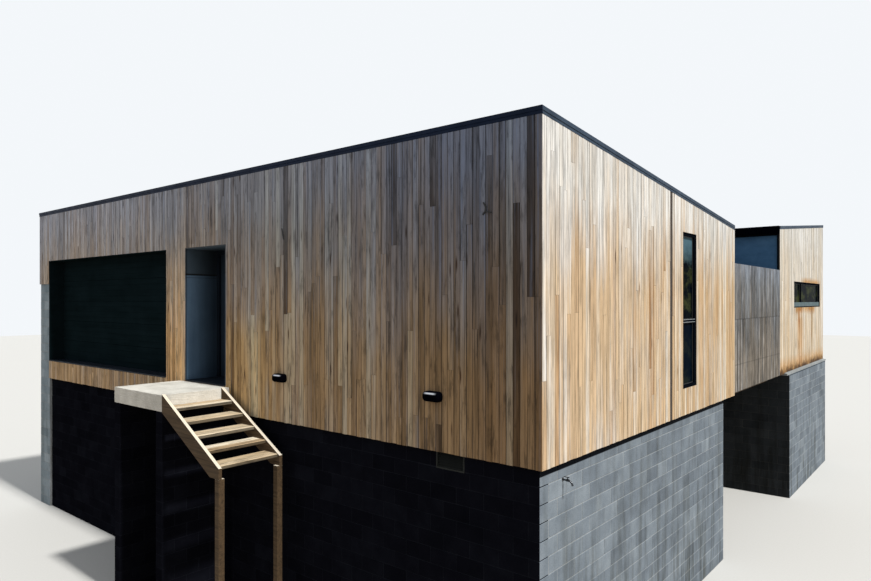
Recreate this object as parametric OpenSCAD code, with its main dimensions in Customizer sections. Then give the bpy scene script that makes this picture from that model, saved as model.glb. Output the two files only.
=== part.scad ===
/* [Main block] */
// Length of the main block along the street front
main_length = 13750; // [12600:50:16000]
// Depth of the main block from front to back
main_depth = 7200; // [6600:20:9000]
// Height of the main block from the underside of its cladding to its front capping
main_rise = 3902; // [3600:2:4400]
// Fall of both roofs, in degrees
roof_pitch = 5.2; // [2:0.05:7]

/* [Court and wing] */
// Depth of the open court between the two blocks
court_depth = 3750; // [2400:10:4600]
// Depth of the rear wing
wing_depth = 5550; // [4800:10:7000]
// Height of the wing's low edge above the underside of the main block's cladding
wing_rise = 3567; // [3400:1:4000]
// Lift of the court's and the wing's underside above the main block's
rear_lift = 50; // [0:5:100]
// Height of the court screens
screen_height = 2480; // [1800:10:2800]
// Height of the screens' lowest rail above their underside
rail_place = 520; // [300:10:700]
// Drop from the top of the screens to their highest rail
rail_drop = 200; // [100:10:400]
// Gap from the main block's rear block wall to its rear face
main_overhang = 480; // [200:20:1200]
// Gap from the wing's low face to its first block wall
wing_overhang = 750; // [400:10:1600]
// How far the ledge runs on past the wing's first block wall
ledge_lead = 330; // [0:10:600]

/* [Levels] */
// Height of the cladding's underside above the lowest ground
base_height = 3000; // [2800:200:3400]
// Thickness of the floors, from the cladding's underside to the floor
floor_depth = 420; // [300:10:480]
// Height of the door openings above the floor
opening_height = 2300; // [2100:10:2340]
// Height of the ground at the front, where the stair lands
front_ground = 2400; // [1800:20:2500]
// Step down from the floor to the landing and to the court deck
threshold = 20; // [10:5:60]

/* [Walls] */
// Thickness of the timber framed walls with their cladding
wall_thickness = 210; // [200:5:260]
// Thickness of the concrete block walls
block_thickness = 190; // [140:10:200]
// Width of block wall under the edge of each floor
floor_bearing = 50; // [20:5:80]
// How far the wing's block walls stand out past its cladding
wing_block_out = 52; // [20:2:100]
// Height of the block wall on the left side, above the lowest ground
pier_height = 5200; // [4800:200:5400]
// Width of the block pier left of the garage opening
pier_width = 550; // [350:2:700]
// Depth of the cladding alone
cladding = 25; // [18:1:40]
// Width of the flush strip over the movement joint in the right wall's cladding
joint_width = 90; // [60:1:120]
// Distance of the movement joint from the front corner
joint_place = 3784; // [2000:2:4200]

/* [Openings] */
// Distance from the right corner to the entry opening
entry_place = 5940; // [4500:20:6200]
// Clear width of the entry opening
entry_width = 1216; // [1050:2:1400]
// Depth of the entry recess, from the wall's face to the door
entry_depth = 650; // [450:10:900]
// Drop from the entry's head to the joint in its lining
lining_joint = 443; // [200:1:900]
// Width of wall between the entry and the garage
between_width = 684; // [400:4:900]
// Depth of the garage recess, from the wall's face to the door
garage_recess = 318; // [230:2:420]
// Thickness of the dark panels that line the openings
lining = 18; // [12:1:30]
// Number of sections in the garage door
garage_sections = 5; // [4:1:6]
// Number of ribs on each section of the garage door
garage_ribs = 4; // [2:1:5]
// Thickness of the garage door
garage_door_thickness = 45; // [35:1:60]

/* [Front door] */
// Thickness of the front door
leaf_thickness = 45; // [35:1:60]
// Width of the door frame's posts that shows
jamb_width = 60; // [40:2:80]
// Running gap round the door
door_gap = 8; // [7:1:12]
// Height of the door sill above the floor
sill_height = 15; // [8:1:30]
// Radius of the hinge barrels
hinge_radius = 8; // [6:1:12]
// Length of each hinge barrel
hinge_length = 110; // [80:5:160]
// Length of the pull handle
handle_length = 600; // [300:20:1200]
// Height of the pull handle's middle above the floor
handle_level = 1050; // [900:10:1200]
// Radius of the pull handle
handle_radius = 13; // [9:1:18]

/* [Windows] */
// Width of the slim full height windows
slim_width = 640; // [450:1:800]
// Height of the slim windows above the floor
slim_height = 2482; // [2200:1:2500]
// Distance from the front corner to the slim window in the right wall
slim_place = 4351; // [4300:1:5200]
// Height of the slim window's crossbar above the floor
slim_bar = 1070; // [800:10:1400]
// Length of the wing's strip windows
strip_length = 3510; // [2400:10:3800]
// Height of the strip windows
strip_height = 667; // [450:1:800]
// Height of the strip window's underside above the floor
strip_sill = 1210; // [900:10:1500]
// Distance from the wing's far face to the strip window
strip_end = 500; // [300:10:900]
// Distance from the strip window's near end to its upright bar
strip_bar = 930; // [400:10:1200]
// Width of the window frames' bars
bar_width = 50; // [35:1:70]
// Depth of the window frames
frame_depth = 100; // [70:5:140]
// Setback of the window frames from the cladding's face
frame_setback = 12; // [0:1:30]
// Thickness of the glass units
glass_thickness = 24; // [18:1:32]
// Number of bays in the wing's glass wall
glass_bays = 8; // [6:1:10]

/* [Roof] */
// Thickness of the roof's timber deck
roof_deck = 100; // [80:5:200]
// Drop from the top of the capping to the roof sheet
roof_drop = 80; // [60:5:120]
// Thickness of the roof sheet
roof_sheet = 12; // [6:1:20]
// Spacing of the roof sheet's seams
seam_spacing = 405; // [300:5:600]
// Height of the roof sheet's seams
seam_height = 28; // [15:1:38]
// Height of the main block's folded capping
capping_height = 88; // [70:1:160]
// Height of the wing's folded capping
wing_capping_height = 78; // [50:1:120]
// How far the capping's upper fold stands out past the cladding
capping_out = 15; // [12:1:40]
// Thickness of the capping's top plate
capping_plate = 8; // [4:1:12]
// Width of the roof gutters
gutter_width = 100; // [80:5:140]

/* [Stair and landing] */
// Length of the landing along the wall
landing_length = 1535; // [1400:5:2000]
// Depth of the landing from the wall
landing_depth = 1150; // [1000:10:1500]
// Thickness of the landing slab
landing_thickness = 250; // [120:10:300]
// Distance from the entry's right edge back to the head of the stair
stair_place = 125; // [0:5:250]
// Number of risers in the stair
risers = 6; // [5:1:8]
// Depth of each step from nosing to nosing
going = 290; // [250:5:320]
// Thickness of the treads
tread_thickness = 50; // [35:1:60]
// Overlap of each tread under the one above
tread_overlap = 35; // [10:5:60]
// Depth of the stair strings, measured upright
string_depth = 270; // [220:10:320]
// Thickness of the stair strings
string_thickness = 50; // [40:1:65]
// Depth of the housings that hold the treads
housing = 15; // [8:1:20]
// Gap from the wall to the stair
stair_gap = 100; // [40:5:150]
// Width of the square posts under the stair
post_width = 90; // [70:5:120]

/* [Fittings] */
// Distance from the right corner to the first wall light
light_place = 1482; // [1000:2:2500]
// Distance between the two wall lights
light_spacing = 2966; // [2000:2:3000]
// Height of the wall lights' centres above the cladding's underside
light_height = 662; // [300:2:1200]
// Width of a wall light
light_width = 260; // [180:5:320]
// Height of a wall light
light_tall = 124; // [90:2:160]
// How far a wall light stands out
light_out = 104; // [70:2:140]
// Distance from the right corner to the vent in the front block wall
vent_place = 1080; // [700:10:2000]
// Width of the vent
vent_width = 430; // [300:10:600]
// Height of the vent
vent_height = 216; // [120:2:230]
// Distance from the front corner to the garden tap
tap_place = 585; // [400:1:1500]
// Distance of the garden tap below the cladding
tap_drop = 222; // [120:1:400]
// How far the garden tap's spout stands out from the block wall
tap_reach = 130; // [120:1:180]

/* [Hidden] */

$fn = 48;
slope = tan(roof_pitch);
joint_gap = 1;
strip_recess = 8;
roof_depth = roof_drop + roof_deck;
wall_drop = capping_plate + joint_gap;
floor_level = base_height + floor_depth;
head_level = floor_level + opening_height;
outdoor_level = floor_level - threshold;
rear_base = base_height + rear_lift;

wing_near = main_depth + court_depth;
wing_far = wing_near + wing_depth;
block_inset = wall_thickness + floor_bearing - block_thickness;
pier_inset = wall_thickness - block_thickness;
wing_block_thickness = wing_block_out + wall_thickness + floor_bearing;
ledge_out = 20;
ledge_thickness = 40;

left_face = -main_length;
left_inner = -main_length + wall_thickness;
right_inner = -wall_thickness;
inside_x = [left_inner, right_inner];

entry_x = [-entry_place - entry_width, -entry_place];
garage_x = [left_face + pier_width + lining, entry_x[0] - between_width];
entry_hole_x = [entry_x[0] - lining, entry_x[1] + lining];
garage_hole_x = [garage_x[0] - lining, garage_x[1] + lining];

main_block_far = main_depth - main_overhang;
wing_block_near = wing_near + wing_overhang;
reach_y = [-landing_depth, wing_far + wing_block_out + ledge_out];

// Height of the capping's top at a distance y from the front face
function main_top(y) = base_height + main_rise - y * slope;
function wing_top(y) = base_height + wing_rise + (y - wing_near) * slope;
function top_at(wing, y) = wing ? wing_top(y) : main_top(y);

// Outline between two depths under the capping's top
function under_top(wing, y, low, high) = [
    [y[0], top_at(wing, y[0]) - low], [y[1], top_at(wing, y[1]) - low],
    [y[1], top_at(wing, y[1]) - high], [y[0], top_at(wing, y[0]) - high]
];

// Outline from a level bottom up to a depth under the capping's top
function up_to_top(wing, y, bottom, high) = [
    [y[0], bottom], [y[1], bottom],
    [y[1], top_at(wing, y[1]) - high], [y[0], top_at(wing, y[0]) - high]
];

// Origin under the middle of the whole house
module placed() {
    translate([main_length / 2, -(reach_y[0] + reach_y[1]) / 2, 0]) children();
}

module slab(x, y, z) {
    translate([x[0], y[0], z[0]]) cube([x[1] - x[0], y[1] - y[0], z[1] - z[0]]);
}

// An outline in depth and height, carried along the house's length
module along(x, outline) {
    translate([x[0], 0, 0]) rotate([90, 0, 90]) linear_extrude(x[1] - x[0]) polygon(outline);
}

// Places for windows: x runs along the wall, y into it from the cladding's face
module in_right_wall(y) { translate([0, y, floor_level]) rotate(90) children(); }
module in_left_wall(y) { translate([left_face, y, floor_level]) rotate(-90) children(); }
module in_rear_wall(face, x) { translate([x, face, floor_level]) rotate(180) children(); }

module window_hole(width, height) {
    translate([0, -1, 0]) cube([width, wall_thickness + 2, height]);
}

module main_rear_slim_places() {
    for (share = [0.25, 0.75]) in_rear_wall(main_depth, left_face * share + slim_width / 2) children();
}

module wing_rear_strip_places() {
    for (share = [0.25, 0.75]) {
        in_rear_wall(wing_far, left_face * share + strip_length / 2) translate([0, 0, strip_sill]) children();
    }
}

module wing_side_strip_places() {
    translate([0, 0, strip_sill]) {
        in_right_wall(wing_far - strip_end - strip_length) children();
        in_left_wall(wing_far - strip_end) children();
    }
}

// Timber walls of the main block

module timber() { color([0.56, 0.46, 0.37]) children(); }
module sunlit_timber() { color([0.84, 0.72, 0.56]) children(); }
module block_colour() { color([0.55, 0.58, 0.61]) children(); }
module black_metal() { color([0.1, 0.12, 0.14]) children(); }

module front_wall_part(x, bottom) {
    timber() along(x, up_to_top(false, [0, wall_thickness], bottom, wall_drop));
}

module front_wall_right() { placed() front_wall_part([entry_hole_x[1], 0], base_height); }

module front_wall_head() {
    placed() front_wall_part([garage_hole_x[0], entry_hole_x[1]], head_level + lining);
}

module front_wall_left() {
    placed() front_wall_part([left_face, garage_hole_x[0]], pier_height);
}

module front_wall_between() {
    placed() timber() slab([garage_hole_x[1], entry_hole_x[0]], [0, wall_thickness],
        [floor_level, head_level + lining]);
}

module front_wall_base() {
    placed() timber() slab([garage_hole_x[0], entry_hole_x[1]], [0, wall_thickness],
        [base_height, floor_level]);
}

module right_wall() {
    joint = [joint_place, joint_place + joint_width];
    placed() sunlit_timber() difference() {
        along([right_inner, 0],
            up_to_top(false, [wall_thickness, main_depth], base_height, wall_drop));
        in_right_wall(slim_place) window_hole(slim_width, slim_height);
        slab([-strip_recess, 1], joint, [base_height - 1, base_height + main_rise]);
    }
}

module left_wall() {
    placed() sunlit_timber() along([left_face, left_inner],
        up_to_top(false, [wall_thickness, main_depth], pier_height, wall_drop));
}

module rear_wall() {
    y = [main_depth - wall_thickness, main_depth];
    placed() timber() difference() {
        along(inside_x, up_to_top(false, y, base_height, roof_depth + joint_gap));
        main_rear_slim_places() window_hole(slim_width, slim_height);
    }
}

// Floors: a sheet on joists between rim boards

floor_sheet = 30;
joist_width = 45;
joist_spacing = 600;

module joisted_floor(x, y, z) {
    inner = [x[0] + joist_width, x[1] - joist_width];
    bays = ceil((inner[1] - inner[0]) / joist_spacing);
    pitch = (x[1] - x[0] - joist_width) / bays;
    slab(x, y, [z[1] - floor_sheet, z[1]]);
    for (i = [0 : bays]) {
        slab([x[0] + i * pitch, x[0] + i * pitch + joist_width], y, z);
    }
    for (end = [y[0], y[1] - joist_width]) slab(x, [end, end + joist_width], z);
}

module main_floor() {
    placed() color([0.62, 0.52, 0.4]) joisted_floor(inside_x,
        [wall_thickness, main_depth - wall_thickness], [base_height, floor_level]);
}

// Roofs: a timber deck with a seamed metal sheet that runs into the gutter

module seamed_roof(wing, deck_y, sheet_y) {
    seams = floor((inside_x[1] - inside_x[0] - seam_spacing / 2) / seam_spacing);
    margin = (inside_x[1] - inside_x[0] - seams * seam_spacing) / 2;
    seam_width = 22;
    along(inside_x, under_top(wing, deck_y, roof_depth, roof_drop + roof_sheet));
    along(inside_x, under_top(wing, sheet_y, roof_drop + roof_sheet, roof_drop));
    for (i = [0 : seams]) {
        middle = inside_x[0] + margin + i * seam_spacing;
        along([middle - seam_width / 2, middle + seam_width / 2],
            under_top(wing, sheet_y, roof_drop + roof_sheet / 2, roof_drop - seam_height));
    }
}

sheet_reach = 45;

module main_roof() {
    placed() color([0.3, 0.33, 0.36]) seamed_roof(false,
        [wall_thickness, main_depth], [wall_thickness, main_depth + sheet_reach]);
}

// Folded capping: an upper and a lower fold outside, a plate over the wall, a short drop inside

capping_in = 12;
capping_step = 8;

module side_capping(wing, inner_side, face, outward, y, drop_y, height) {
    out_x = sorted(face, face + outward * capping_out);
    step_x = sorted(face, face + outward * capping_step);
    over_x = sorted(inner_side - outward * capping_in, face + outward * capping_out);
    drop_x = sorted(inner_side - outward * capping_in, inner_side);
    along(out_x, under_top(wing, y, height * 0.55, 0));
    along(step_x, under_top(wing, y, height, 0));
    along(over_x, under_top(wing, y, capping_plate, 0));
    along(drop_x, under_top(wing, drop_y, roof_drop / 2, 0));
}

function sorted(a, b) = [min(a, b), max(a, b)];

module end_capping(wing, face, outward, height) {
    x = [left_face - capping_out, capping_out];
    inner_side = face - outward * wall_thickness;
    along(x, under_top(wing, sorted(face, face + outward * capping_out), height * 0.55, 0));
    along(x, under_top(wing, sorted(face, face + outward * capping_step), height, 0));
    along(x, under_top(wing,
        sorted(inner_side - outward * capping_in, face + outward * capping_out), capping_plate, 0));
    along(inside_x, under_top(wing,
        sorted(inner_side - outward * capping_in, inner_side), roof_drop / 2, 0));
}

module capping(wing, face, outward, y, drop_y, height) {
    end_capping(wing, face, outward, height);
    side_capping(wing, right_inner, 0, 1, y, drop_y, height);
    side_capping(wing, left_inner, left_face, -1, y, drop_y, height);
}

module roof_cappings() {
    placed() black_metal() {
        capping(false, 0, -1, [0, main_depth], [wall_thickness, main_depth], capping_height);
        capping(true, wing_far, 1, [wing_near, wing_far],
            [wing_near, wing_far - wall_thickness], wing_capping_height);
    }
}

// Box gutter on a low edge; the sheet's edge hangs inside it

gutter_metal = 5;

module gutter(wing, face, outward, lip_drop) {
    roof_top = top_at(wing, face);
    top = roof_top - lip_drop;
    bottom = roof_top - roof_depth;
    back_top = roof_top - roof_drop - roof_sheet - sheet_reach * slope - 10;
    outline = [
        [0, back_top], [0, bottom], [gutter_width, bottom], [gutter_width, top],
        [gutter_width - gutter_metal, top], [gutter_width - gutter_metal, bottom + gutter_metal],
        [gutter_metal, bottom + gutter_metal], [gutter_metal, back_top]
    ];
    stop = [[0, bottom], [gutter_width, bottom], [gutter_width, top], [0, top]];
    along([left_face, 0], [for (p = outline) [face + outward * p[0], p[1]]]);
    for (x = [left_face, -gutter_metal]) {
        along([x, x + gutter_metal], [for (p = stop) [face + outward * p[0], p[1]]]);
    }
}

module roof_gutters() {
    placed() black_metal() {
        gutter(false, main_depth, 1, roof_drop);
        gutter(true, wing_near, -1, 0);
    }
}

// Block walls under the main block

block_right_x = [-block_inset - block_thickness, -block_inset];
block_left_x = [left_face + pier_inset, left_inner];

module front_block_wall() {
    placed() block_colour() difference() {
        slab([garage_hole_x[0], -block_inset], [block_inset, block_inset + block_thickness],
            [0, base_height]);
        translate([-vent_place - vent_width, block_inset - 1, base_height - 2 - vent_height])
            cube([vent_width, block_thickness + 2, vent_height]);
    }
}

module right_block_wall() {
    placed() block_colour() slab(block_right_x,
        [block_inset + block_thickness, main_block_far], [0, base_height]);
}

module rear_block_wall() {
    placed() block_colour() slab([left_inner, block_right_x[0]],
        [main_block_far - block_thickness, main_block_far], [0, base_height]);
}

module left_block_wall() {
    placed() block_colour() {
        slab([left_face + pier_inset, garage_hole_x[0]],
            [pier_inset, pier_inset + block_thickness], [0, pier_height]);
        slab(block_left_x,
            [pier_inset + block_thickness + joint_gap, main_depth - pier_inset], [0, pier_height]);
    }
}

// Vent: a frame with sloping blades in the top course of the front block wall

module vent() {
    rim = 18;
    depth = 60;
    blades = 6;
    pitch = (vent_height - 2 * rim) / blades;
    placed() color([0.42, 0.43, 0.42])
        translate([-vent_place - vent_width, block_inset - 4, base_height - 2 - vent_height]) {
            difference() {
                cube([vent_width, depth, vent_height]);
                translate([rim, -1, rim])
                    cube([vent_width - 2 * rim, depth + 2, vent_height - 2 * rim]);
            }
            for (i = [0 : blades - 1]) {
                translate([rim - 1, 0, rim + i * pitch]) rotate([90, 0, 90])
                    linear_extrude(vent_width - 2 * rim + 2)
                    polygon([[6, 4], [9, 4], [depth - 12, pitch * 0.95], [depth - 15, pitch * 0.95]]);
            }
        }
}

// Garden tap: a flange and pipe from the wall, a valve body with a lever, and a bent spout

module garden_tap() {
    pipe = 10;
    body = [34, 15];
    bend = 62;
    turn = 66;
    nozzle = [18, 12];
    lever = [70, 12, 7];
    stem = 32;
    straight = tap_reach - bend * sin(turn) - nozzle[0] * cos(turn);
    tip = [straight + bend * sin(turn), 0, -bend * (1 - cos(turn))];
    placed() color([0.72, 0.66, 0.5]) translate([-block_inset, tap_place, base_height - tap_drop]) {
        rotate([0, 90, 0]) cylinder(r = 24, h = 6);
        rotate([0, 90, 0]) cylinder(r = pipe, h = straight - pipe);
        translate([straight - body[0] / 2, 0, 0]) rotate([0, 90, 0]) cylinder(r = body[1], h = body[0]);
        translate([straight, 0, -bend]) rotate([90, 0, 0]) rotate([0, 0, 90 - turn])
            rotate_extrude(angle = turn) translate([bend, 0]) circle(r = pipe);
        translate(tip) rotate([0, 90 + turn, 0]) translate([0, 0, -2]) cylinder(r = nozzle[1], h = nozzle[0] + 2);
        translate([straight, 0, 0]) cylinder(r = 7, h = stem + 2);
        translate([straight - lever[0] * 0.7, -lever[1] / 2, stem]) cube(lever);
    }
}

// Entry recess: side walls, lining panels, frame and door

jamb_x = [entry_hole_x[0], entry_hole_x[1]];
leaf_x = [entry_x[0] + jamb_width + door_gap, entry_x[1] - jamb_width - door_gap];
leaf_y = [entry_depth, entry_depth + leaf_thickness];
leaf_z = [floor_level + sill_height + door_gap, head_level - jamb_width - door_gap];
frame_y = [entry_depth - 40, entry_depth + leaf_thickness];
entry_wall = 90;

module entry_walls() {
    y = [wall_thickness, frame_y[1]];
    placed() color([0.75, 0.74, 0.72]) {
        slab([jamb_x[0] - entry_wall, jamb_x[0]], y, [floor_level, head_level + lining]);
        slab([jamb_x[1], jamb_x[1] + entry_wall], y, [floor_level, head_level + lining]);
        slab([jamb_x[0] - entry_wall, jamb_x[1] + entry_wall], y,
            [head_level + lining + joint_gap, head_level + lining + entry_wall]);
    }
}

module entry_lining() {
    y = [0, frame_y[0]];
    groove = 6;
    joint_level = head_level - lining_joint;
    placed() color([0.2, 0.25, 0.31]) {
        difference() {
            slab([jamb_x[0], entry_x[0]], y, [floor_level, head_level - joint_gap]);
            slab([entry_x[0] - groove, entry_x[0] + 1], [-1, y[1] + 1], [joint_level, joint_level + 10]);
        }
        slab([entry_x[1], jamb_x[1]], y, [floor_level, head_level - joint_gap]);
        slab([jamb_x[0], jamb_x[1]], y, [head_level, head_level + lining]);
    }
}

module door_frame() {
    stop = 20;
    rebate_y = entry_depth - door_gap;
    inner = [entry_x[0] + jamb_width, entry_x[1] - jamb_width];
    under_head = head_level - jamb_width;
    left_post = [
        [jamb_x[0], frame_y[0]], [inner[0] + stop, frame_y[0]], [inner[0] + stop, rebate_y],
        [inner[0], rebate_y], [inner[0], frame_y[1]], [jamb_x[0], frame_y[1]]
    ];
    right_post = [
        [jamb_x[1], frame_y[0]], [inner[1] - stop, frame_y[0]], [inner[1] - stop, rebate_y],
        [inner[1], rebate_y], [inner[1], frame_y[1]], [jamb_x[1], frame_y[1]]
    ];
    placed() color([0.13, 0.16, 0.2]) {
        translate([0, 0, floor_level]) linear_extrude(head_level + lining - floor_level) {
            polygon(left_post);
        }
        translate([0, 0, floor_level]) linear_extrude(head_level + lining - floor_level) {
            polygon(right_post);
        }
        slab([inner[0] + joint_gap, inner[1] - joint_gap], [rebate_y + joint_gap, frame_y[1]],
            [under_head, head_level + lining]);
        slab([inner[0] + stop + joint_gap, inner[1] - stop - joint_gap],
            [frame_y[0], rebate_y + joint_gap], [under_head - stop, head_level + lining]);
        slab([inner[0] + stop + joint_gap, inner[1] - stop - joint_gap], frame_y,
            [floor_level, floor_level + sill_height]);
    }
}

// Lift-off hinges: the frame's half holds the pin, the door's half turns on it

hinge_x = leaf_x[0] - door_gap / 2;
hinge_y = leaf_y[1] + hinge_radius;
hinge_plate = 3;
pin_radius = hinge_radius / 2;
pin_clearance = 0.3;
hinge_levels = [leaf_z[0] + 180, (leaf_z[0] + leaf_z[1]) / 2, leaf_z[1] - 180];

module hinge_wing(outward) {
    reach = hinge_radius * 4;
    x = sorted(outward * pin_radius * 1.5, outward * reach);
    slab(x, [-hinge_radius, hinge_plate - hinge_radius], [0, hinge_length / 2 - 1]);
}

module door_hinges() {
    placed() color([0.6, 0.61, 0.62]) for (level = hinge_levels) {
        translate([hinge_x, hinge_y, level - hinge_length / 2]) {
            cylinder(r = hinge_radius, h = hinge_length / 2 - 1);
            cylinder(r = pin_radius, h = hinge_length - 8);
            hinge_wing(-1);
        }
    }
}

module front_door() {
    placed() color([0.17, 0.21, 0.27]) {
        slab(leaf_x, leaf_y, leaf_z);
        for (level = hinge_levels) translate([hinge_x, hinge_y, level]) {
            difference() {
                union() {
                    cylinder(r = hinge_radius, h = hinge_length / 2);
                    hinge_wing(1);
                }
                translate([0, 0, -1])
                    cylinder(r = pin_radius + pin_clearance, h = hinge_length / 2 - 5);
            }
        }
    }
}

module door_handle() {
    stand_off = 55;
    x = leaf_x[1] - 90;
    middle = floor_level + handle_level;
    lock_radius = 22;
    placed() color([0.6, 0.61, 0.62]) {
        for (end = [-1, 1]) {
            translate([x, leaf_y[0], middle + end * (handle_length / 2 - 60)]) rotate([90, 0, 0])
                cylinder(r = handle_radius * 0.7, h = stand_off);
        }
        translate([x, leaf_y[0] - stand_off, middle - handle_length / 2])
            cylinder(r = handle_radius, h = handle_length);
        translate([x + 35, leaf_y[0], middle - handle_length / 2 - 90]) rotate([90, 0, 0])
            cylinder(r = lock_radius, h = 8);
    }
}

// Garage: lining panels and a ribbed door in sections

garage_y = [garage_recess, garage_recess + garage_door_thickness];

module garage_lining() {
    y = [0, garage_y[1]];
    placed() color([0.06, 0.07, 0.08]) {
        slab([garage_hole_x[0], garage_x[0]], y, [floor_level, head_level - joint_gap]);
        slab([garage_x[1], garage_hole_x[1]], y, [floor_level, head_level - joint_gap]);
        slab(garage_hole_x, y, [head_level, head_level + lining]);
    }
}

module garage_door() {
    rib_count = garage_sections * garage_ribs;
    height = opening_height - joint_gap;
    pitch = height / rib_count;
    groove = 9;
    front = [for (i = [1 : rib_count - 1]) let (
        z = floor_level + i * pitch, depth = i % garage_ribs == 0 ? 10 : 4)
        each [[garage_y[0], z - groove / 2], [garage_y[0] + depth, z], [garage_y[0], z + groove / 2]]];
    placed() color([0.09, 0.11, 0.12]) along([garage_x[0], garage_x[1]], concat(
        [[garage_y[1], floor_level], [garage_y[0], floor_level]], front,
        [[garage_y[0], floor_level + height], [garage_y[1], floor_level + height]]));
}

// Windows: a frame with its bars, and the glass units that fill it

module window_frame(width, height, panes) {
    translate([0, frame_setback, 0]) difference() {
        cube([width, frame_depth, height]);
        for (pane = panes) {
            translate([pane[0], -1, pane[1]]) cube([pane[2], frame_depth + 2, pane[3]]);
        }
    }
}

module window_panes(panes) {
    for (pane = panes) {
        translate([pane[0], frame_setback + (frame_depth - glass_thickness) / 2, pane[1]])
            cube([pane[2], glass_thickness, pane[3]]);
    }
}

slim_inner = slim_width - 2 * bar_width;
slim_panes = [
    [bar_width, bar_width, slim_inner, slim_bar - bar_width * 1.5],
    [bar_width, slim_bar + bar_width / 2, slim_inner, slim_height - slim_bar - bar_width * 1.5]
];
strip_inner = strip_height - 2 * bar_width;
strip_panes = [
    [bar_width, bar_width, strip_bar - bar_width * 1.5, strip_inner],
    [strip_bar + bar_width / 2, bar_width, strip_length - strip_bar - bar_width * 1.5, strip_inner]
];

module slim_places() {
    in_right_wall(slim_place) children();
    main_rear_slim_places() children();
}

module strip_places() {
    wing_side_strip_places() children();
    wing_rear_strip_places() children();
}

module window_frames() {
    placed() black_metal() {
        slim_places() window_frame(slim_width, slim_height, slim_panes);
        strip_places() window_frame(strip_length, strip_height, strip_panes);
    }
}

module window_glass() {
    placed() color([0.2, 0.27, 0.33, 0.6]) {
        slim_places() window_panes(slim_panes);
        strip_places() window_panes(strip_panes);
    }
}

// Court: a boarded screen on rails and posts at each end, a deck and its bearers

board_thickness = 20;
rail_thickness = 45;
rail_height = 90;
screen_post = 90;
screen_depth = board_thickness + rail_thickness + screen_post;
screen_rails = 3;
post_drop = 30;

module court_screen() {
    rail_spacing = (screen_height - rail_place - rail_drop) / (screen_rails - 1);
    z = [rear_base, rear_base + screen_height];
    post_places = [main_depth, (main_depth + wing_near - screen_post) / 2, wing_near - screen_post];
    slab([-board_thickness, 0], [main_depth, wing_near], z);
    for (i = [0 : screen_rails - 1]) {
        middle = z[0] + rail_place + i * rail_spacing;
        slab([-board_thickness - rail_thickness, -board_thickness], [main_depth, wing_near],
            [middle - rail_height / 2, middle + rail_height / 2]);
    }
    for (y = post_places) {
        slab([-screen_depth, -board_thickness - rail_thickness], [y, y + screen_post],
            [z[0], z[1] - post_drop]);
    }
}

module court_screens() {
    placed() color([0.5, 0.49, 0.47]) {
        court_screen();
        translate([left_face, 0, 0]) mirror([1, 0, 0]) court_screen();
    }
}

module court_deck() {
    placed() color([0.55, 0.52, 0.48]) joisted_floor(
        [left_face + screen_depth, -screen_depth], [main_depth, wing_near],
        [rear_base, outdoor_level]);
}

module court_bearers() {
    bearer_width = 90;
    bearer_depth = 240;
    margin = 450;
    count = 7;
    pitch = (main_length - 2 * margin - bearer_width) / (count - 1);
    bottom = rear_base - bearer_depth;
    outline = [
        [main_block_far, bottom], [wing_block_near, bottom], [wing_block_near, rear_base],
        [main_depth, rear_base], [main_depth, base_height], [main_block_far, base_height]
    ];
    placed() color([0.4, 0.35, 0.3]) for (i = [0 : count - 1]) {
        x = left_face + margin + i * pitch;
        along([x, x + bearer_width], outline);
    }
}

// Wing: walls, glass wall to the court, floor and roof

glass_wall_depth = 120;
glass_y = [wing_near, wing_near + glass_wall_depth];

module wing_side_wall() {
    along([right_inner, 0], up_to_top(true, [glass_y[1], wing_far], rear_base, wall_drop));
    along([-cladding, 0], up_to_top(true, glass_y, rear_base, wall_drop));
    along([right_inner, 0], under_top(true, glass_y, roof_depth, wall_drop));
    slab([right_inner, 0], glass_y, [rear_base, floor_level]);
}

module wing_right_wall() {
    placed() sunlit_timber() difference() {
        wing_side_wall();
        wing_side_strip_places() window_hole(strip_length, strip_height);
    }
}

module wing_left_wall() {
    placed() sunlit_timber() difference() {
        translate([left_face, 0, 0]) mirror([1, 0, 0]) wing_side_wall();
        wing_side_strip_places() window_hole(strip_length, strip_height);
    }
}

module wing_rear_wall() {
    placed() timber() difference() {
        along(inside_x,
            up_to_top(true, [wing_far - wall_thickness, wing_far], rear_base, wall_drop));
        wing_rear_strip_places() window_hole(strip_length, strip_height);
    }
}

glass_wall_x = [left_face + cladding, -cladding];
glass_bar = 35;
glass_clear = (glass_wall_x[1] - glass_wall_x[0] - glass_bar) / glass_bays - glass_bar;
glass_z = [floor_level + glass_bar, wing_top(wing_near) - roof_depth - glass_bar];

module glass_wall_bays(y) {
    for (i = [0 : glass_bays - 1]) {
        x = glass_wall_x[0] + glass_bar + i * (glass_clear + glass_bar);
        slab([x, x + glass_clear], y, glass_z);
    }
}

module wing_glass_frame() {
    placed() black_metal() difference() {
        along(glass_wall_x, up_to_top(true, glass_y, floor_level, roof_depth + joint_gap));
        glass_wall_bays([glass_y[0] - 1, glass_y[1] + 1]);
    }
}

module wing_glass() {
    middle = (glass_y[0] + glass_y[1]) / 2;
    placed() color([0.2, 0.27, 0.33, 0.6])
        glass_wall_bays([middle - glass_thickness / 2, middle + glass_thickness / 2]);
}

module wing_floor() {
    placed() color([0.62, 0.52, 0.4]) joisted_floor(inside_x,
        [wing_near, wing_far - wall_thickness], [rear_base, floor_level]);
}

module wing_roof() {
    y = [wing_near, wing_far - wall_thickness];
    placed() color([0.3, 0.33, 0.36]) seamed_roof(true, y, [wing_near - sheet_reach, y[1]]);
}

// Block walls under the wing, with a flashed ledge where they stand out

wing_block_x = [left_face - wing_block_out, wing_block_out];
wing_block_y = [wing_block_near, wing_far + wing_block_out];

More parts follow.
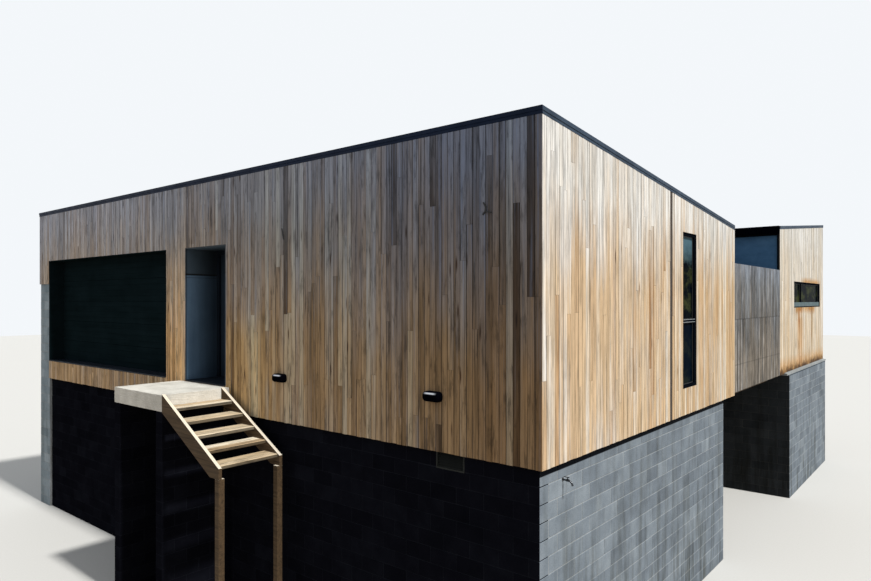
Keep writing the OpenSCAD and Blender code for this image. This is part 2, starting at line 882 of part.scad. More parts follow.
module wing_block_walls() {
    z = [0, rear_base - ledge_thickness];
    placed() block_colour() {
        slab(wing_block_x, [wing_block_y[0], wing_block_y[0] + block_thickness], z);
        slab([wing_block_x[0] + wing_block_thickness + joint_gap,
            wing_block_x[1] - wing_block_thickness - joint_gap],
            [wing_block_y[1] - wing_block_thickness, wing_block_y[1]], z);
        for (x = [wing_block_x[0], wing_block_x[1] - wing_block_thickness]) {
            slab([x, x + wing_block_thickness],
                [wing_block_y[0] + block_thickness + joint_gap, wing_block_y[1]], z);
        }
    }
}

module wing_ledge() {
    x = [wing_block_x[0] - ledge_out, wing_block_x[1] + ledge_out];
    y = [wing_block_y[0], wing_block_y[1] + ledge_out];
    side_y = [y[0] - ledge_lead, y[1]];
    z = [rear_base - ledge_thickness, rear_base];
    wide = wing_block_thickness + ledge_out;
    placed() color([0.62, 0.64, 0.65]) {
        for (end = [[y[0], y[0] + block_thickness], [y[1] - wide, y[1]]]) {
            slab([x[0] + wide + joint_gap, x[1] - wide - joint_gap], end, z);
        }
        for (start = [x[0], x[1] - wide]) slab([start, start + wide], side_y, z);
    }
}

// Wall lights: a rounded hood on a back plate

module wall_light() {
    plate = 18;
    arc = [for (a = [90 : -15 : -90]) [
        -plate - (light_out - plate) * cos(a), light_tall / 2 * sin(a)]];
    outline = concat([[0, -light_tall / 2], [0, light_tall / 2]], arc);
    translate([-light_width / 2, 0, 0]) along([0, light_width], outline);
}

module wall_lights() {
    placed() black_metal() for (i = [0, 1]) {
        translate([-light_place - i * light_spacing, 0, base_height + light_height]) wall_light();
    }
}

// Landing on two block walls, and an open stair of housed treads between two strings

stair_head = -entry_place + stair_place;
landing_x = [stair_head - landing_length, stair_head];
riser = (outdoor_level - front_ground) / risers;
tread_count = risers - 1;
stair_foot = stair_head + tread_count * going + 60;
string_lift = 14;
stair_y = [-landing_depth, -stair_gap];
tread_y = [stair_y[0] + string_thickness - housing, stair_y[1] - string_thickness + housing];

module landing() {
    placed() color([0.78, 0.78, 0.76]) slab(landing_x, [-landing_depth, 0],
        [outdoor_level - landing_thickness, outdoor_level]);
}

module landing_walls() {
    z = [0, outdoor_level - landing_thickness];
    placed() block_colour() for (x = [landing_x[0], landing_x[1] - block_thickness]) {
        slab([x, x + block_thickness], [-landing_depth, -stair_gap], z);
    }
}

module tread(i, y) {
    nosing = stair_head + i * going + string_lift;
    top = outdoor_level - i * riser;
    slab([nosing - going - tread_overlap, nosing], y, [top - tread_thickness, top]);
}

module stair_treads() {
    placed() color([0.8, 0.72, 0.6]) for (i = [1 : tread_count]) {
        difference() {
            tread(i, tread_y);
            slab(landing_x, [-landing_depth, 0], [0, outdoor_level]);
        }
    }
}

module string_board(y) {
    fall = riser / going;
    foot = stair_foot;
    head_top = outdoor_level + string_lift;
    foot_top = head_top - fall * (foot - stair_head);
    heel = stair_head + (head_top - string_depth - front_ground) / fall;
    difference() {
        translate([0, y[1], 0]) rotate([90, 0, 0]) linear_extrude(y[1] - y[0]) polygon([
            [stair_head, head_top], [foot, foot_top], [foot, front_ground],
            [heel, front_ground], [stair_head, head_top - string_depth]
        ]);
        for (i = [1 : tread_count]) tread(i, tread_y);
    }
}

module stair_frame() {
    placed() color([0.5, 0.38, 0.27]) {
        string_board([stair_y[0], stair_y[0] + string_thickness]);
        string_board([stair_y[1] - string_thickness, stair_y[1]]);
        for (y = [stair_y[0], stair_y[1] - post_width]) {
            slab([stair_foot - post_width, stair_foot], [y, y + post_width],
                [0, front_ground - joint_gap]);
        }
    }
}

front_wall_right();
front_wall_between();
front_wall_head();
front_wall_base();
front_wall_left();
right_wall();
left_wall();
rear_wall();
main_floor();
main_roof();
front_block_wall();
right_block_wall();
left_block_wall();
rear_block_wall();
wing_block_walls();
wing_ledge();
entry_walls();
entry_lining();
door_frame();
door_hinges();
front_door();
door_handle();
garage_lining();
garage_door();
court_screens();
court_deck();
court_bearers();
wing_right_wall();
wing_left_wall();
wing_rear_wall();
wing_glass_frame();
wing_glass();
wing_floor();
wing_roof();
roof_cappings();
roof_gutters();
window_frames();
window_glass();
wall_lights();
vent();
garden_tap();
landing();
landing_walls();
stair_frame();
stair_treads();
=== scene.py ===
"""Looks of the beach house: boards, blocks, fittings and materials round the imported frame."""
import math
import random

import bmesh
import bpy
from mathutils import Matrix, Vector


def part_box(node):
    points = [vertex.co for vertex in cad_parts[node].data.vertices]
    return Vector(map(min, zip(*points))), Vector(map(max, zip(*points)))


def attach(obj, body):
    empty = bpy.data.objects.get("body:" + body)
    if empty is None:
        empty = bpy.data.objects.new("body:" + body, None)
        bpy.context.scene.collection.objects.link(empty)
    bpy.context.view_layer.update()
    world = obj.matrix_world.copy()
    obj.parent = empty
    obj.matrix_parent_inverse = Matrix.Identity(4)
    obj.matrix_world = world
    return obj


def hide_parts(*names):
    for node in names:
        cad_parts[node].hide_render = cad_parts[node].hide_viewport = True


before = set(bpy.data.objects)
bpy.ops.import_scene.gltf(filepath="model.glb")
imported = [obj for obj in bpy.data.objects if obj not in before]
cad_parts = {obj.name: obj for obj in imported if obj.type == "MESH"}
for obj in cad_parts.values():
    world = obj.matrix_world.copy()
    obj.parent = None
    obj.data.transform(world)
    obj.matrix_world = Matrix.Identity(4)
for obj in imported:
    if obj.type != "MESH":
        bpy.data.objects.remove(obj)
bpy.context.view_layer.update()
scene = bpy.context.scene


def linked(name, data):
    made = bpy.data.objects.new(name, data)
    scene.collection.objects.link(made)
    return made



# Planes and levels, read from the frame

front_low, front_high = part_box("front_wall_right")
RIGHT = front_high.x
FRONT = front_low.y
BASE = front_low.z
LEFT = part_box("front_wall_left")[0].x
PIER_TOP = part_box("front_wall_left")[0].z
MAIN_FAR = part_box("rear_wall")[1].y
wing_low, wing_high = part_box("wing_right_wall")
WING_NEAR = wing_low.y
WING_FAR = wing_high.y
REAR_BASE = wing_low.z
UNDER_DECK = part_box("wing_block_walls")[0].y
UNDER_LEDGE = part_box("wing_ledge")[0].z
ENTRY_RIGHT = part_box("entry_lining")[1].x
BETWEEN = (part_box("garage_lining")[1].x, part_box("entry_lining")[0].x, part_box("entry_lining")[1].z)
X, Y, Z = Vector((1, 0, 0)), Vector((0, 1, 0)), Vector((0, 0, 1))


def points_of(node):
    return [v.co.copy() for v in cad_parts[node].data.vertices]


def solids(node):
    """Boxes of a node's separate solids."""
    parent = {}

    def root(key):
        while parent.setdefault(key, key) != key:
            key = parent[key]
        return key

    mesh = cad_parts[node].data
    for polygon in mesh.polygons:
        keys = [tuple(round(c, 4) for c in mesh.vertices[i].co) for i in polygon.vertices]
        for key in keys[1:]:
            parent[root(key)] = root(keys[0])
    groups = {}
    for key in list(parent):
        groups.setdefault(root(key), []).append(key)
    boxes = []
    for group in groups.values():
        boxes.append([Vector([end(p[i] for p in group) for i in range(3)]) for end in (min, max)])
    return sorted(boxes, key=lambda box: tuple(box[0]))


def top_line(node):
    """Height of a sloping wall's top as a function of y."""
    points = points_of(node)
    near, far = min(p.y for p in points), max(p.y for p in points)
    low = max(p.z for p in points if p.y < near + 0.001)
    high = max(p.z for p in points if p.y > far - 0.001)
    return lambda y: low + (high - low) * (y - near) / (far - near)


main_top = top_line("right_wall")
wing_top = top_line("wing_right_wall")
capping_points = points_of("roof_cappings")
FOLD_EDGE = 0.002
CLEARANCE = 0.002
MAIN_FOLD = main_top(FRONT) - min(p.z for p in capping_points if p.y < FRONT - FOLD_EDGE) + CLEARANCE
WING_FOLD = wing_top(WING_FAR) - min(p.z for p in capping_points if p.y > WING_FAR + FOLD_EDGE)
WING_FOLD += CLEARANCE

# Materials


def srgb(red, green, blue):
    """Linear colour of an everyday colour with levels up to 255."""
    levels = [v / 255 for v in (red, green, blue)]
    return tuple(v / 12.92 if v < 0.04045 else ((v + 0.055) / 1.055) ** 2.4 for v in levels) + (1.0,)


def grey(level):
    return (level, level, level, 1.0)


def tones(*colours, at=None):
    """Stops of a ramp from everyday colours, at the usual places for so many unless they are given."""
    usual = {2: (0.3, 0.7), 3: (0.0, 0.5, 1.0), 5: (0.0, 0.12, 0.5, 0.85, 1.0)}
    return [(stop, srgb(*colour)) for stop, colour in zip(at or usual[len(colours)], colours)]


def greys(*stops):
    """Stops of a ramp from pairs of a place and a brightness."""
    return [(stop, grey(level)) for stop, level in stops]


def add(kind, inputs, tree=None, **settings):
    """A node with its inputs, in the tree of the sockets that feed it unless the tree is given."""
    sockets = {key: value for key, value in inputs.items() if isinstance(value, bpy.types.NodeSocket)}
    tree = tree or next(iter(sockets.values())).id_data
    node = tree.nodes.new("ShaderNode" + kind)
    for key, value in settings.items():
        setattr(node, key, value)
    for key, value in inputs.items():
        if key in sockets:
            tree.links.new(value, node.inputs[key])
        else:
            node.inputs[key].default_value = value
    return node


def blank(name):
    """A new material with its shader and the place of each point."""
    material = bpy.data.materials.new(name)
    material.use_nodes = True
    tree = material.node_tree
    return material, tree.nodes["Principled BSDF"], add("TexCoord", {}, tree).outputs["Object"]


def axes(vector):
    """The X, Y and Z parts of a vector."""
    return list(add("SeparateXYZ", {0: vector}).outputs)


def own_tones(here):
    """The random values that each solid of a piece has for itself."""
    board = add("Attribute", {}, here.id_data, attribute_name="board")
    return board.outputs["Vector"], add("SeparateColor", {0: board.outputs["Color"]}).outputs


def scaled(vector, scales):
    return add("Mapping", {"Vector": vector, "Scale": scales}).outputs[0]


def noise(vector, scale=1.0, detail=4.0, roughness=0.6):
    """Soft noise; with three scales it is stretched along the axes."""
    if isinstance(scale, tuple):
        vector, scale = scaled(vector, scale), 1.0
    inputs = {"Vector": vector, "Scale": scale, "Detail": detail, "Roughness": roughness}
    return add("TexNoise", inputs).outputs["Fac"]


def calc(operation, a, b=0.0, clamp=False):
    return add("Math", {0: a, 1: b}, operation=operation, use_clamp=clamp).outputs[0]


def times(first, *others):
    """The product of two or more values."""
    for other in others:
        first = calc("MULTIPLY", first, other)
    return first


def gap(value, level):
    """How far a value is from a level."""
    return calc("ABSOLUTE", calc("SUBTRACT", value, level))


def over(value, level):
    return calc("GREATER_THAN", value, level)


def under(value, level):
    return calc("LESS_THAN", value, level)


def fade(value, start, end, low=0.0, high=1.0):
    """A value from low to high while the input goes from start to end."""
    inputs = {"Value": value, "From Min": start, "From Max": end, "To Min": low, "To Max": high}
    return add("MapRange", inputs).outputs[0]


def ramp(factor, stops):
    node = add("ValToRGB", {0: factor})
    elements = node.color_ramp.elements
    elements[0].position, elements[0].color = stops[0]
    elements[1].position, elements[1].color = stops[-1]
    for position, colour in stops[1:-1]:
        elements.new(position).color = colour
    return node.outputs[0]


def mix(factor, first, second, blend="MIX"):
    settings = {"data_type": "RGBA", "blend_type": blend}
    return add("Mix", {0: factor, 6: first, 7: second}, **settings).outputs[2]


def tint(base, colour, factor=1.0):
    """The base times a colour, as far as the factor says."""
    return mix(factor, base, colour, "MULTIPLY")


def bump(shader, height, distance, strength=0.6):
    inputs = {"Strength": strength, "Distance": distance, "Height": height}
    shader.id_data.links.new(add("Bump", inputs).outputs[0], shader.inputs["Normal"])


def join(shader, base, roughness, even):
    """The colour and roughness from their nodes, and what is the same all over as values."""
    for name, socket in (("Base Color", base), ("Roughness", roughness)):
        shader.id_data.links.new(socket, shader.inputs[name])
    for name, value in even.items():
        shader.inputs[name].default_value = value


SPECULAR = "Specular IOR Level"
# Sizes of the patterns in timber: how often each repeats in a metre, along the boards and across them
GRAIN = (1.4, 60)
STREAK = (0.5, 11)
BAND = (0.9, 28)
KNOT = (1.3, 9)
RUN = (0.3, 34)
BLOT = (2.2, 14)
PATCH = (0.4, 0.9)
# The most that a board's own pattern is moved, in metres
OWN_PATTERN = 40.0


def timber(name, low_tones, high_tones, span=(3.0, 6.9), axis="z", knots=0.2, rust=None, lines=(),
           painted_shade=None, runs=0.6, streaks=None, spread=(1.0, 1.0), clouds=None, blotch=0.76,
           wander=(0.3, 0.25, 0.25), bleached=None, profile=None, drift=None):
    """Weathered boards: one tone each, grain along them, ageing with height and small knots."""
    material, shader, here = blank(name)
    vector, parts = own_tones(here)
    own = add("VectorMath", {0: vector, "Scale": OWN_PATTERN}, operation="SCALE")
    moved = add("VectorMath", {0: here, 1: own.outputs[0]}, operation="ADD").outputs[0]
    across, inward, height = axes(here)

    def stretch(size):
        return tuple(size[0] if letter == axis else size[1] for letter in "xyz")

    def along_boards(size, detail, roughness=0.6, points=moved):
        return noise(points, stretch(size), detail, roughness)

    grain = along_boards(GRAIN, 6.0, 0.65)
    streak = along_boards(STREAK, 3.0)
    patch = along_boards(PATCH, 3.0, points=here)
    age = fade(height, *span)
    for source, start, end, amount in ((parts[1], 0.0, 1.0, wander[0]), (streak, 0.3, 0.7, wander[1]),
                                       (patch, 0.35, 0.65, wander[2])):
        age = calc("ADD", age, fade(source, start, end, -amount, amount))
    own_tone = times(calc("SUBTRACT", parts[0], 0.5), fade(across, LEFT, RIGHT, *spread))
    own_tone = calc("ADD", own_tone, 0.5)
    tone = calc("ADD", own_tone, fade(streak, 0.25, 0.75, -0.14, 0.14), clamp=True)
    base = mix(age, ramp(tone, low_tones), ramp(tone, high_tones))
    base = tint(base, ramp(grain, greys((0.3, 0.5), (0.46, 0.84), (0.62, 1.0))))
    bands = along_boards(BAND, 2.0)
    base = tint(base, ramp(bands, greys((0.3, 0.58), (0.46, 0.9), (0.6, 1.0))))
    thin = along_boards(RUN, 4.0)
    base = tint(base, grey(0.3), fade(thin, 0.58, 0.68, 0.0, runs))
    if streaks:
        pale = times(fade(thin, 0.44, 0.34, 0.0, 0.6), fade(age, 0.0, 0.7, 0.25, 1.0))
        base = mix(pale, base, streaks)
    blots = along_boards(BLOT, 5.0, 0.72)
    base = tint(base, ramp(blots, greys((0.35, blotch), (0.47, 0.98), (0.62, 1.1))))
    if clouds:
        mottle = noise(here, clouds[0], 5.0, 0.7)
        base = tint(base, ramp(mottle, greys((0.35, clouds[1]), (0.62, 1.0))))
    # Brightness by height: painted light and shade on the front, from its middle to the right; on the
    # screens darker in the middle and lighter at the foot and top.
    if profile:
        near = fade(across, LEFT + 5.5, LEFT + 8.0) if painted_shade else 1.0
        level = fade(height, profile[0], profile[1])
        base = tint(base, ramp(level, profile[2]), near)
    if drift:
        near, far, low, high = drift
        drifted = mix(fade(inward, FRONT + 1.0, MAIN_FAR), near, far)
        base = tint(base, drifted, fade(height, high, low))
    # The front's painted light and shade.
    if painted_shade:
        base = front_painted_light(base, across, height, painted_shade)
    cells = add("TexVoronoi", {"Vector": scaled(moved, stretch(KNOT)), "Scale": 1.0})
    chance = add("SeparateColor", {0: cells.outputs["Color"]}).outputs[0]
    spot = times(fade(cells.outputs["Distance"], 0.16, 0.05), under(chance, knots))
    base = tint(base, srgb(120, 95, 75), spot)
    for level in lines:
        base = tint(base, grey(0.35), fade(gap(height, level), 0.004, 0.02, 0.45, 0.0))
    if rust:
        base = rust(here, height, base)
    # Painted sunlight and shade: faces that look up are lighter and, where given, mixed towards a pale tone;
    # the other faces are darker.
    if bleached:
        side, top, painted_top_pale = bleached
        upward = fade(axes(add("NewGeometry", {}, here.id_data).outputs["Normal"])[2], 0.3, 0.6)
        base = tint(base, mix(upward, grey(side), grey(top)))
        base = mix(times(upward, painted_top_pale), base, srgb(250, 243, 226))
    join(shader, base, fade(grain, 0.3, 0.7, 0.9, 0.72), {SPECULAR: 0.25})
    bump(shader, calc("SUBTRACT", grain, spot), 0.0015)
    return material


def front_painted_light(base, across, height, painted_shade):
    """The front's painted light and shade: duller to the right, bluer high and warmer low towards the
    corner, paler near the corner's top and beside the entry, and a warm painted glow between the openings.
    """
    amount = fade(across, LEFT, RIGHT)
    # Painted shade: darker towards the right along the wall, a little less so low down.
    base = tint(base, ramp(amount, painted_shade), fade(height, BASE, BASE + 2.6, 0.85, 1.0))
    # Painted light colour towards the corner: bluer high up, warmer low down.
    painted_light_tint = mix(fade(height, 4.0, 6.4), (1.03, 0.99, 0.9, 1.0), (0.94, 1.04, 1.24, 1.0))
    base = tint(base, painted_light_tint, fade(amount, 0.66, 0.9))
    # Painted light and shade near the corner: darker and warmer low down, paler high up.
    corner = mix(fade(height, 5.0, 5.6), (0.92, 0.87, 0.82, 1.0), (1.15, 1.15, 1.14, 1.0))
    base = tint(base, corner, fade(across, RIGHT - 1.0, RIGHT - 0.6))
    # Painted light low on the wall, just right of the entry.
    foot = times(fade(across, ENTRY_RIGHT + 1.5, ENTRY_RIGHT + 0.9),
                 fade(height, 4.7, 4.2), over(across, ENTRY_RIGHT - 0.1))
    base = tint(base, (1.25, 1.22, 1.04, 1.0), foot)
    # Slightly yellower away from the corner, except near the top: part of the painted light colour.
    yellow = times(fade(across, RIGHT - 2.4, RIGHT - 3.4), fade(height, 6.6, 5.8))
    base = tint(base, (1.0, 0.98, 0.91, 1.0), yellow)
    # A warm painted glow on the wall between the garage and the entry, up to about the head of the openings.
    left_edge, right_edge, head = BETWEEN
    strip = times(fade(across, left_edge - 0.05, left_edge + 0.05),
                  fade(across, right_edge + 0.15, right_edge - 0.05), fade(height, head + 0.3, head - 0.4))
    painted_glow = mix(fade(height, 4.8, 5.5), (1.66, 1.48, 1.18, 1.0), (1.45, 1.22, 0.93, 1.0))
    return tint(base, painted_glow, strip)


def masonry(name, *colours, scale=3.0, pores=90.0, depth=0.002, units=False, darkened=False, specular=0.3):
    """Concrete, blocks, mortar or plaster: clouds of tone, fine pores, and where asked damp marks with
    painted shadows.
    """
    material, shader, here = blank(name)
    cloud = noise(here, scale, 5.0)
    if units:
        own = fade(own_tones(here)[1][0], 0.0, 1.0, 0.1, 0.36)
        cloud = calc("ADD", times(cloud, 0.55), own)
    base = ramp(cloud, tones(*colours, at=(0.25, 0.5, 0.75) if units else None))
    pore = noise(here, pores, 3.0, 0.7)
    base = tint(base, ramp(pore, greys((0.3, 0.72), (0.55, 1.0))))
    # Damp marks and painted shadows.
    if darkened:
        base = damp_and_painted_shadows(here, base)
    join(shader, base, fade(pore, 0.3, 0.7, 0.95, 0.8), {SPECULAR: specular})
    bump(shader, pore, depth)
    return material


# Painted shadows: how far below the boards and the ledge they reach, and their soft edge.
BOARD_SHADOW = 0.102
LEDGE_SHADOW = 0.036
SHADOW_EDGE = 0.01


def damp_and_painted_shadows(here, base):
    """Damp from the ground up, and painted shadows on the wall under the deck and below the boards and the
    ledge.
    """
    across, inward, height = axes(here)
    drip = noise(here, (6, 6, 0.7))
    darkened = times(fade(height, 0.0, BASE, 1.0, 0.25), fade(drip, 0.45, 0.7))
    base = tint(base, srgb(170, 165, 150), darkened)
    # Painted shade on the wing's wall face under the deck.
    painted_deck_shadow = calc("COMPARE", inward, UNDER_DECK)
    painted_deck_shadow.node.inputs[2].default_value = 0.006
    base = tint(base, grey(0.16), painted_deck_shadow)
    # Painted shadow of the boards along the top of the right block wall.
    shadow = BASE - BOARD_SHADOW
    painted_board_shadow = times(fade(height, shadow, shadow + SHADOW_EDGE * 0.8),
                         under(inward, MAIN_FAR), over(across, RIGHT - 0.5))
    base = tint(base, (0.02, 0.025, 0.035, 1.0), painted_board_shadow)
    # Painted shadow of the ledge along the top of the wing's block walls.
    shadow = UNDER_LEDGE - LEDGE_SHADOW
    painted_ledge_shadow = times(fade(height, shadow, shadow + SHADOW_EDGE), over(inward, UNDER_DECK + 0.05))
    return tint(base, (0.2, 0.26, 0.34, 1.0), painted_ledge_shadow)


def coated(name, dark, pale, rough, metallic=0.0, scale=1.5, drips=(5, 5, 0.6), specular=0.5,
           above=None, painted_front_shade=None, painted_highlight=(), painted_recess_shade=None):
    """Painted or bare metal and panels: soft clouds, faint runs and a fine skin, with painted light and
    shade where given.
    """
    material, shader, here = blank(name)
    across, inward, height = axes(here)
    run = noise(here, drips)
    both = calc("ADD", times(noise(here, scale), 0.5), times(run, 0.5))
    base = ramp(both, tones(dark, pale))
    if above:
        joint, upper = above
        base = mix(fade(height, joint - 0.01, joint), base, ramp(both, upper))
        line = fade(gap(height, joint - 0.002), 0.014, 0.018, 0.9, 0.0)
        base = mix(line, base, grey(0.004))
    # Painted light and shade by depth into a recess: a dark line at the opening, paler just inside, darker
    # further in.
    if painted_recess_shade:
        base = tint(base, ramp(fade(inward, painted_recess_shade[0], painted_recess_shade[1]), painted_recess_shade[2]))
    # A painted highlight along the upper front of each given box: the wall lights' hoods.
    for low, high in painted_highlight:
        size = high - low
        aside = fade(gap(across, (low.x + high.x) / 2), size.x * 0.38, size.x * 0.2)
        off = fade(gap(height, high.z - size.z * 0.17), 0.013, 0.002)
        spot = times(aside, off, under(inward, low.y + size.y * 0.5))
        base = mix(spot, base, (0.62, 0.66, 0.74, 1.0))
    # Painted shade: faces towards the front darkened by the given colour.
    if painted_front_shade:
        base = tint(base, painted_front_shade, under(inward, FRONT + 0.0005))
    join(shader, base, fade(run, 0.3, 0.7, rough + 0.08, rough - 0.06),
         {"Metallic": metallic, SPECULAR: specular})
    bump(shader, noise(here, 220.0, 2.0), 0.0004, 0.4)
    return material


# Rust marks: centre and half width along the window, start and end below it, colour and strength
RUST_MARKS = (
    (0.56, 0.14, 0.0, 0.70, (206, 156, 80), 0.9), (0.72, 0.50, 0.2, 1.80, (222, 182, 126), 0.7),
    (2.30, 0.13, 0.0, 1.50, (178, 148, 104), 0.8), (0.56, 0.60, -0.1, 0.24, (210, 158, 78), 0.95),
    (2.24, 0.70, -0.1, 0.22, (212, 162, 84), 0.9), (1.36, 0.80, -0.1, 0.16, (226, 182, 112), 0.8))


def rust_below(window):
    """Rust under a side window and along the foot of the wing's boards."""
    low, high = window

    def paint(here, height, base):
        runs = noise(here, (7, 7, 0.9), 5.0, 0.7)
        splash = noise(here, (9, 9, 5), 5.0, 0.7)
        along = calc("SUBTRACT", axes(here)[1], low.y)
        along = calc("ADD", along, fade(runs, 0.3, 0.7, -0.12, 0.12))
        drop = calc("SUBTRACT", low.z, height)
        drop = calc("ADD", drop, fade(splash, 0.3, 0.7, -0.06, 0.06))
        outside = under(height, low.z)
        for centre, half, start, end, colour, strength in RUST_MARKS:
            side = fade(gap(along, centre), half * 0.35, half, strength, 0.0)
            mask = times(side, fade(drop, start - 0.05, start + 0.12),
                         fade(drop, end, (start + end) / 2), outside)
            base = tint(base, srgb(*colour), mask)
        crown = fade(gap(along, (high.y - low.y) * 0.62), 0.9, 1.5, 0.85, 0.0)
        above = calc("SUBTRACT", height, high.z)
        crown = times(crown, fade(above, 0.15, 0.03), over(above, 0.0))
        base = tint(base, srgb(232, 186, 122), crown)
        rise = calc("SUBTRACT", height, REAR_BASE)
        rise = calc("ADD", rise, fade(splash, 0.3, 0.7, -0.09, 0.09))
        base = tint(base, srgb(240, 200, 140), fade(rise, 0.08, 0.42, 0.95, 0.0))
        patchy = noise(here, (2.2, 2.2, 1), detail=3.0)
        dark = times(fade(rise, 0.06, 0.2, 0.97, 0.0), fade(patchy, 0.34, 0.52, 0.4, 1.0))
        return mix(dark, base, srgb(66, 44, 24))
    return paint


WALL_SKIN = 0.12


def faced(name, outside, inside):
    """A framed wall: dark wrap behind the boards outside, plaster inside."""
    material, shader, here = blank(name)
    cloud = noise(here, 2.0)
    skin = noise(here, 120.0, 2.0)
    across, inward = axes(here)[:2]

    def between(value, low, high):
        return times(over(value, low), under(value, high))

    depth = calc("MAXIMUM", between(inward, FRONT + WALL_SKIN, MAIN_FAR - WALL_SKIN),
                 between(inward, WING_NEAR, WING_FAR - WALL_SKIN))
    room = times(between(across, LEFT + WALL_SKIN, RIGHT - WALL_SKIN), depth)
    base = mix(room, ramp(cloud, outside), ramp(cloud, inside))
    join(shader, base, fade(skin, 0.3, 0.7, 0.95, 0.85), {})
    bump(shader, skin, 0.0006, 0.4)
    return material


def glazing(name, colours, index, painted_sky=None):
    """Dark panes with painted reflections: soft shapes of what they mirror, and a paler painted sky at the
    head where it is given.
    """
    material, shader, here = blank(name)
    cloud = noise(here, (2.1, 2.1, 3.4), 6.0, 0.7)
    dust = noise(here, (7, 7, 1.2))
    base = ramp(cloud, colours)
    if painted_sky:
        height = axes(here)[2]
        level = calc("ADD", height, fade(cloud, 0.35, 0.65, -0.09, 0.09))
        base = mix(fade(level, painted_sky[0], painted_sky[1]), base, painted_sky[2])
        # Painted reflection: the lower panes of the slim windows darker blue.
        lower = fade(height, SLIM_BAR - 0.05, SLIM_BAR + 0.05, 0.75, 0.0)
        base = mix(lower, base, srgb(5, 18, 33))
    join(shader, base, fade(dust, 0.4, 0.8, 0.02, 0.08), {"Transmission Weight": 0.1, "IOR": index})
    return material


# Timber

# The front's boards: a shaded copy of the boards, bluer high up, with painted shade along the wall and
# painted light and shade by height.
front_timber = timber(
    "shaded_boards",
    tones((124, 98, 70), (176, 145, 108), (218, 184, 144), (236, 207, 172), (246, 226, 198)),
    tones((108, 106, 112), (160, 160, 168), (198, 202, 216), (220, 226, 240), (238, 244, 252)),
    span=(3.7, 6.7), streaks=srgb(176, 190, 220), runs=0.85, spread=(0.7, 1.3), blotch=0.48,
    wander=(0.14, 0.16, 0.2), knots=0.5,
    painted_shade=greys((0.0, 1.0), (0.2, 1.0), (0.5, 0.7), (0.65, 0.6), (0.83, 0.48), (0.93, 0.4), (1.0, 0.34)),
    profile=(3.3, 6.8, greys((0.0, 1.14), (0.14, 1.13), (0.3, 1.09), (0.4, 1.09), (0.49, 1.05),
                             (0.58, 0.98), (0.71, 0.92), (0.85, 0.93), (1.0, 1.0))))
side_timber = timber(
    "sunlit_boards",
    tones((188, 146, 102), (214, 178, 136), (231, 201, 161), (241, 219, 188), (249, 236, 216)),
    tones((188, 174, 154), (224, 217, 206), (243, 242, 238), (248, 247, 244), (252, 252, 250)),
    span=(4.9, 6.2), wander=(0.25, 0.25, 0.25),
    drift=((0.96, 0.98, 1.03, 1.0), (0.9, 0.87, 0.81, 1.0), 5.3, 6.1))
strip_side = [box for box in solids("window_frames") if box[1].x > RIGHT - 0.02 and box[0].y > WING_NEAR]
wing_timber = timber(
    "wing_boards",
    tones((200, 174, 138), (216, 194, 162), (234, 219, 195), (243, 231, 211), (250, 243, 231)),
    tones((178, 172, 160), (214, 210, 200), (236, 234, 228), (244, 243, 239), (250, 250, 248)),
    rust=rust_below(strip_side[0]), span=(3.6, 6.4), spread=(1.2, 1.2), blotch=0.74,
    drift=((0.98, 0.95, 0.91, 1.0),) * 2 + (5.9, 6.5))
SCREEN_LOW, SCREEN_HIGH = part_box("court_screens")
RAIL_LOW = SCREEN_LOW.z + 0.52
RAIL_HIGH = SCREEN_HIGH.z - 0.2
RAIL_LEVELS = (RAIL_LOW, (RAIL_LOW + RAIL_HIGH) / 2, RAIL_HIGH)
screen_timber = timber(
    "silvered_boards", tones((96, 88, 78), (132, 124, 113), (162, 153, 142)),
    tones((104, 108, 114), (148, 155, 163), (180, 188, 198)),
    span=(3.6, 5.8), lines=RAIL_LEVELS[:2], clouds=((6, 6, 1.6), 0.4), blotch=0.42,
    profile=(3.3, 5.4, greys((0.0, 1.24), (0.13, 1.26), (0.27, 1.13), (0.41, 0.95), (0.55, 0.82),
                             (0.7, 0.88), (0.84, 0.92)) + [(1.0, (1.1, 1.13, 1.2, 1.0))]))


def even_timber(name, *colours, **settings):
    """Timber with the same tones at all heights."""
    return timber(name, *[tones(*colours)] * 2, **settings)


deck_timber = even_timber("deck_boards", (112, 100, 88), (146, 134, 120), (176, 165, 150), axis="x")
floor_timber = even_timber("floor_sheet", (150, 118, 84), (178, 146, 108), (198, 168, 130), axis="x")
bearer_timber = even_timber("bearer_timber", (92, 74, 56), (116, 96, 74), (136, 116, 92), axis="y")
# Treads and strings carry painted sunlight on their tops and painted shade on their sides.
tread_timber = even_timber("tread_timber", (150, 122, 90), (204, 182, 148), (244, 232, 208), axis="y",
                           knots=0.3, runs=0.9, blotch=0.5, streaks=srgb(250, 244, 228),
                           bleached=(0.27, 1.15, 0.0))
string_timber = even_timber("string_timber", (150, 122, 90), (184, 158, 122), (212, 190, 156), axis="x",
                            knots=0.3, bleached=(0.32, 1.3, 0.72))

# Masonry and plaster

# Walls with damp marks and painted shadows.
WALL = {"darkened": True, "specular": 0.06}
wall_core = faced("wall_core", tones((18, 14, 11), (28, 23, 18)), tones((196, 193, 186), (208, 206, 200)))
block_face = masonry("block_face", (99, 108, 118), (125, 136, 147), (151, 162, 172), units=True, **WALL)
# A paler, bluer copy of the block for the pier and the left block wall: partly painted light on the shaded
# pier.
pier_block = masonry("pier_block", (120, 136, 148), (151, 167, 179), (178, 192, 203), units=True, **WALL)
mortar = masonry("mortar", (150, 157, 162), (178, 184, 188), **WALL)
